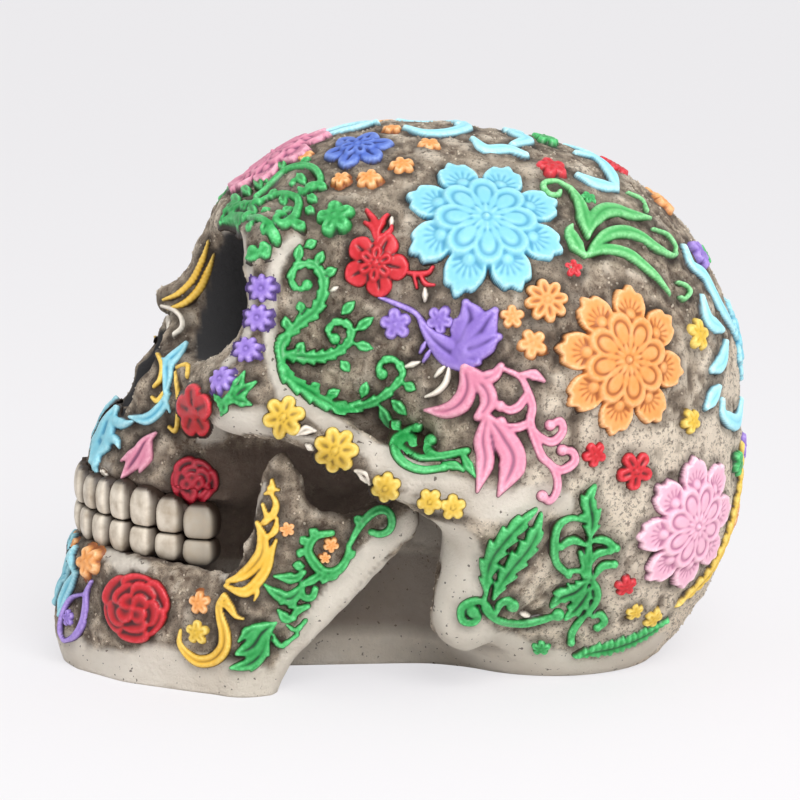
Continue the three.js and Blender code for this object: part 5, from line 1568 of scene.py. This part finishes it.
def cast_resin():
    """Rough cast resin: brown-grey ground with pits and grit, bone-white rubbed edges, charcoal hollows."""
    material, tree, shader = blank_material("rough cast resin with brown wash, painted shade and light", 0.8)
    place = add(tree, "ShaderNodeTexCoord").outputs["Object"]
    seen = {
        name: add(tree, "ShaderNodeAttribute", attribute_name=name).outputs["Fac"]
        for name in ("bone", "wash", "recess_wash_and_shade", "charcoal", "crest", "pit")
    }
    lump, grit, patch, speck = (
        add(tree, "ShaderNodeTexNoise", {
            "Vector": place, "Scale": 1 / (size * MM), "Detail": detail, "Roughness": roughness,
        })
        for size, detail, roughness in ((2.2, 8, 0.75), (1.1, 6, 0.75), (20, 5, 0.5), (1.5, 2, 0.5))
    )
    rubbed = coloured(tree, linear("efe7da"), [
        (patch.outputs["Fac"], 0.4, 0.75, 0.8, linear("d3c7b7")),
        (speck.outputs["Fac"], 0.68, 0.71, 0.8, linear("4b3d32")),
    ])
    ground = coloured(tree, linear("665446"), [
        (lump.outputs["Fac"], 0.42, 0.57, 1, linear("d0bfa9")),
        (patch.outputs["Fac"], 0.45, 0.65, 0.5, linear("d6c6b0")),
        # paler on dry-brushed lumps and grains, and on the lower rear, which is partly painted light
        (seen["crest"], 0.15, 0.72, 0.92, linear("f1e3cf")),
        (seen["pit"], 0.2, 0.9, 0.75, linear("43342a")),
        (grit.outputs["Fac"], 0.51, 0.59, 0.66, linear("38291f")),
        (seen["bone"], 0, 1, 1, rubbed),
        (seen["wash"], 0, 1, 1, linear("291e17")),
        # painted shade in the recesses and hollows, over their brown wash
        (seen["recess_wash_and_shade"], 0.38, 0.82, 0.92, linear("66554a")),
        (seen["charcoal"], 0, 1, 1, linear("3b3a3c")),
    ])
    tree.links.new(ground, shader.inputs["Base Color"])
    bump = add(tree, "ShaderNodeBump", {"Height": lump.outputs["Fac"], "Strength": 0.8, "Distance": 1.2 * MM})
    bump = add(tree, "ShaderNodeBump", {
        "Height": grit.outputs["Fac"], "Strength": 0.6, "Distance": 0.5 * MM,
        "Normal": bump.outputs["Normal"],
    })
    tree.links.new(bump.outputs["Normal"], shader.inputs["Normal"])
    return material


def grit_tree():
    """Grains strewn over a casting where it is rough, each in its own turn and size."""
    tree, given = node_tool("Grit on resin", {
        "Casting": "Geometry", "Grain": "Object", "Paint": "Material", "Per square metre": "Float",
        "Smallest": "Float", "Largest": "Float", "Seed": "Int",
    }, "Grit")
    rough = add(tree, "GeometryNodeInputNamedAttribute", {"Name": "rough"}, data_type="FLOAT")
    amount = add(tree, "ShaderNodeMath", {
        0: rough.outputs["Attribute"], 1: given["Per square metre"],
    }, operation="MULTIPLY")
    strewn = add(tree, "GeometryNodeDistributePointsOnFaces", {
        "Mesh": given["Casting"], "Density": amount.outputs[0], "Seed": given["Seed"],
    })
    tint = add(tree, "FunctionNodeRandomValue", {2: 0, 3: 1, "Seed": given["Seed"]}, data_type="FLOAT")
    tinted = add(tree, "GeometryNodeStoreNamedAttribute", {
        "Geometry": strewn.outputs["Points"], "Name": "crest", "Value": tint.outputs[1],
    }, data_type="FLOAT", domain="POINT")
    turn = add(tree, "FunctionNodeRandomValue", {
        0: (0, 0, 0), 1: (2 * math.pi, 2 * math.pi, 2 * math.pi), "Seed": given["Seed"],
    }, data_type="FLOAT_VECTOR")
    size = add(tree, "FunctionNodeRandomValue", {
        2: given["Smallest"], 3: given["Largest"], "Seed": given["Seed"],
    }, data_type="FLOAT")
    painted_copies(
        tree, tinted.outputs["Geometry"], given["Grain"], turn.outputs[0], size.outputs[1], given["Paint"]
    )
    return tree


def grain_shape():
    """A rough grain 1 mm across, a little flattened."""
    mesh = bpy.data.meshes.new("grain_shape")
    shell = bmesh.new()
    bmesh.ops.create_icosphere(shell, subdivisions=1, radius=0.5 * MM)
    bmesh.ops.scale(shell, vec=(1, 0.8, 0.7), verts=shell.verts)
    shell.to_mesh(mesh)
    shell.free()
    return bpy.data.objects.new("grain_shape", mesh)


resin = cast_resin()
grit_on_resin = grit_tree()
grain = grain_shape()
for seed, (name, carrier) in enumerate(carriers.items()):
    near = KDTree(sum(len(points) for points in footprints[name]))
    for number, point in enumerate(np.vstack(footprints[name])):
        near.insert(point, number)
    near.balance()
    away = np.array([near.find(point)[2] for point in folded(carrier.points)])
    rough = (1 - carrier.bone) * (1 - carrier.charcoal) * smooth((carrier.points[:, 2] - 0.5) / 3)
    height = sum(LUMP_HEIGHT * lumps(carrier.points, size, layer) for layer, size in enumerate(LUMP_SIZES))
    carrier.points = carrier.points + carrier.normals * (rough * height)[:, None]
    rough = rough * (carrier.points[:, 2] > 2)
    carrier.mesh.vertices.foreach_set("co", (carrier.points * MM).astype(np.float32).ravel())
    carrier.mesh.update()
    rearward, upward = carrier.points[:, 1], carrier.points[:, 2]
    # the lower rear is rubbed paler and partly painted light, with less wash
    rubbed = smooth((rearward - RUBBED_AND_LIT_FROM) / RUBBED_AND_LIT_FADE) * smooth((RUBBED_AND_LIT_BELOW - upward) / RUBBED_AND_LIT_FADE)
    stain = np.clip(0.7 + 0.6 * lumps(carrier.points, STAIN_SIZE, STAIN_SEED), 0, 1) * (1 - 0.3 * rubbed)
    for mark, values in (
        ("bone", carrier.bone), ("charcoal", carrier.charcoal), ("rough", rough), ("recess_wash_and_shade", carrier.recess_wash_and_shade),
        ("crest", np.clip(height + rubbed, 0, 1)), ("pit", np.clip(-height, 0, 1)),
        # dark wash round the ornaments' footprints, partly painted shadow at their feet
        ("wash", 0.9 * stain * smooth(1.25 - away / WASH_AND_SHADOW_REACH) * (1 - 0.7 * carrier.bone)),
    ):
        set_attribute(carrier.mesh, mark, values)
    carrier.mesh.shade_smooth()
    carrier.mesh.materials.clear()
    carrier.mesh.materials.append(resin)
    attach(carrier.piece, "root")
    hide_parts(name)
    grit = link_piece(f"{name}_grit", carrier.mesh)
    run_tree(grit, grit_on_resin, {
        "Grain": grain, "Paint": resin, "Per square metre": GRAINS_PER_SQUARE_MM / MM**2,
        "Smallest": SMALLEST_GRAIN, "Largest": LARGEST_GRAIN, "Seed": seed,
    })
    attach(grit, "root")


# Studio
# A plain pale table top that runs out of sight and an even pale sky, with one large soft lamp above and to
# the right of the camera.
FLOOR_SIZE = 40
FLOOR_GLOW = 0.7
SKY_LIGHT = 0.75
SKY_SEEN = 0.87
LAMP_POWER = 18
LAMP_SIZE = 0.8
LAMP_PLACE = Vector((1.1, 0.3, 0.95))
LAMP_AIM = Vector((0, 0, 0.07))


def looked_at(tree):
    """1 where a surface is seen, directly, in a reflection or through glass, and 0 for its light."""
    path = add(tree, "ShaderNodeLightPath").outputs
    seen = path["Is Camera Ray"]
    for ray in ("Is Glossy Ray", "Is Transmission Ray"):
        seen = add(tree, "ShaderNodeMath", {0: seen, 1: path[ray]}, operation="MAXIMUM").outputs[0]
    return seen


floor_mesh = bpy.data.meshes.new("studio_floor")
corners = [(-1, -1, 0), (1, -1, 0), (1, 1, 0), (-1, 1, 0)]
floor_mesh.from_pydata([Vector(c) * FLOOR_SIZE / 2 for c in corners], [], [(0, 1, 2, 3)])
floor = link_piece("studio_floor", floor_mesh)
floor_material, tree, shader = blank_material("pale studio paper", 0.9)
shader.inputs["Base Color"].default_value = linear("f1eeee")
glow = add(tree, "ShaderNodeEmission", {"Color": linear("f4f3f6"), "Strength": 1})
part_glow = add(tree, "ShaderNodeMath", {0: looked_at(tree), 1: FLOOR_GLOW}, operation="MULTIPLY")
paper = add(tree, "ShaderNodeMixShader", {0: part_glow.outputs[0], 1: shader.outputs[0], 2: glow.outputs[0]})
tree.links.new(paper.outputs[0], tree.nodes["Material Output"].inputs["Surface"])
floor_mesh.materials.append(floor_material)
floor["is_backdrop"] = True

sky = bpy.data.worlds.new("studio_sky")
bpy.context.scene.world = sky
sky.use_nodes = True
sky.node_tree.nodes["Background"].inputs["Color"].default_value = linear("ffffff")
sky_glow = add(sky.node_tree, "ShaderNodeMapRange", {
    "Value": looked_at(sky.node_tree), 3: SKY_LIGHT, 4: SKY_SEEN,
})
sky.node_tree.links.new(sky_glow.outputs["Result"], sky.node_tree.nodes["Background"].inputs["Strength"])

key_lamp = bpy.data.objects.new("key_lamp", bpy.data.lights.new("key_lamp", "AREA"))
key_lamp.data.energy = LAMP_POWER
key_lamp.data.size = LAMP_SIZE
key_lamp.location = LAMP_PLACE
key_lamp.rotation_mode = "QUATERNION"
key_lamp.rotation_quaternion = (LAMP_PLACE - LAMP_AIM).to_track_quat("Z", "Y")
bpy.context.scene.collection.objects.link(key_lamp)

bpy.context.scene.view_settings.view_transform = "Standard"

visual_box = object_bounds()
({name: [list(corner) for corner in box] for name, box in
           (("cad", cad_box), ("visual", visual_box))})
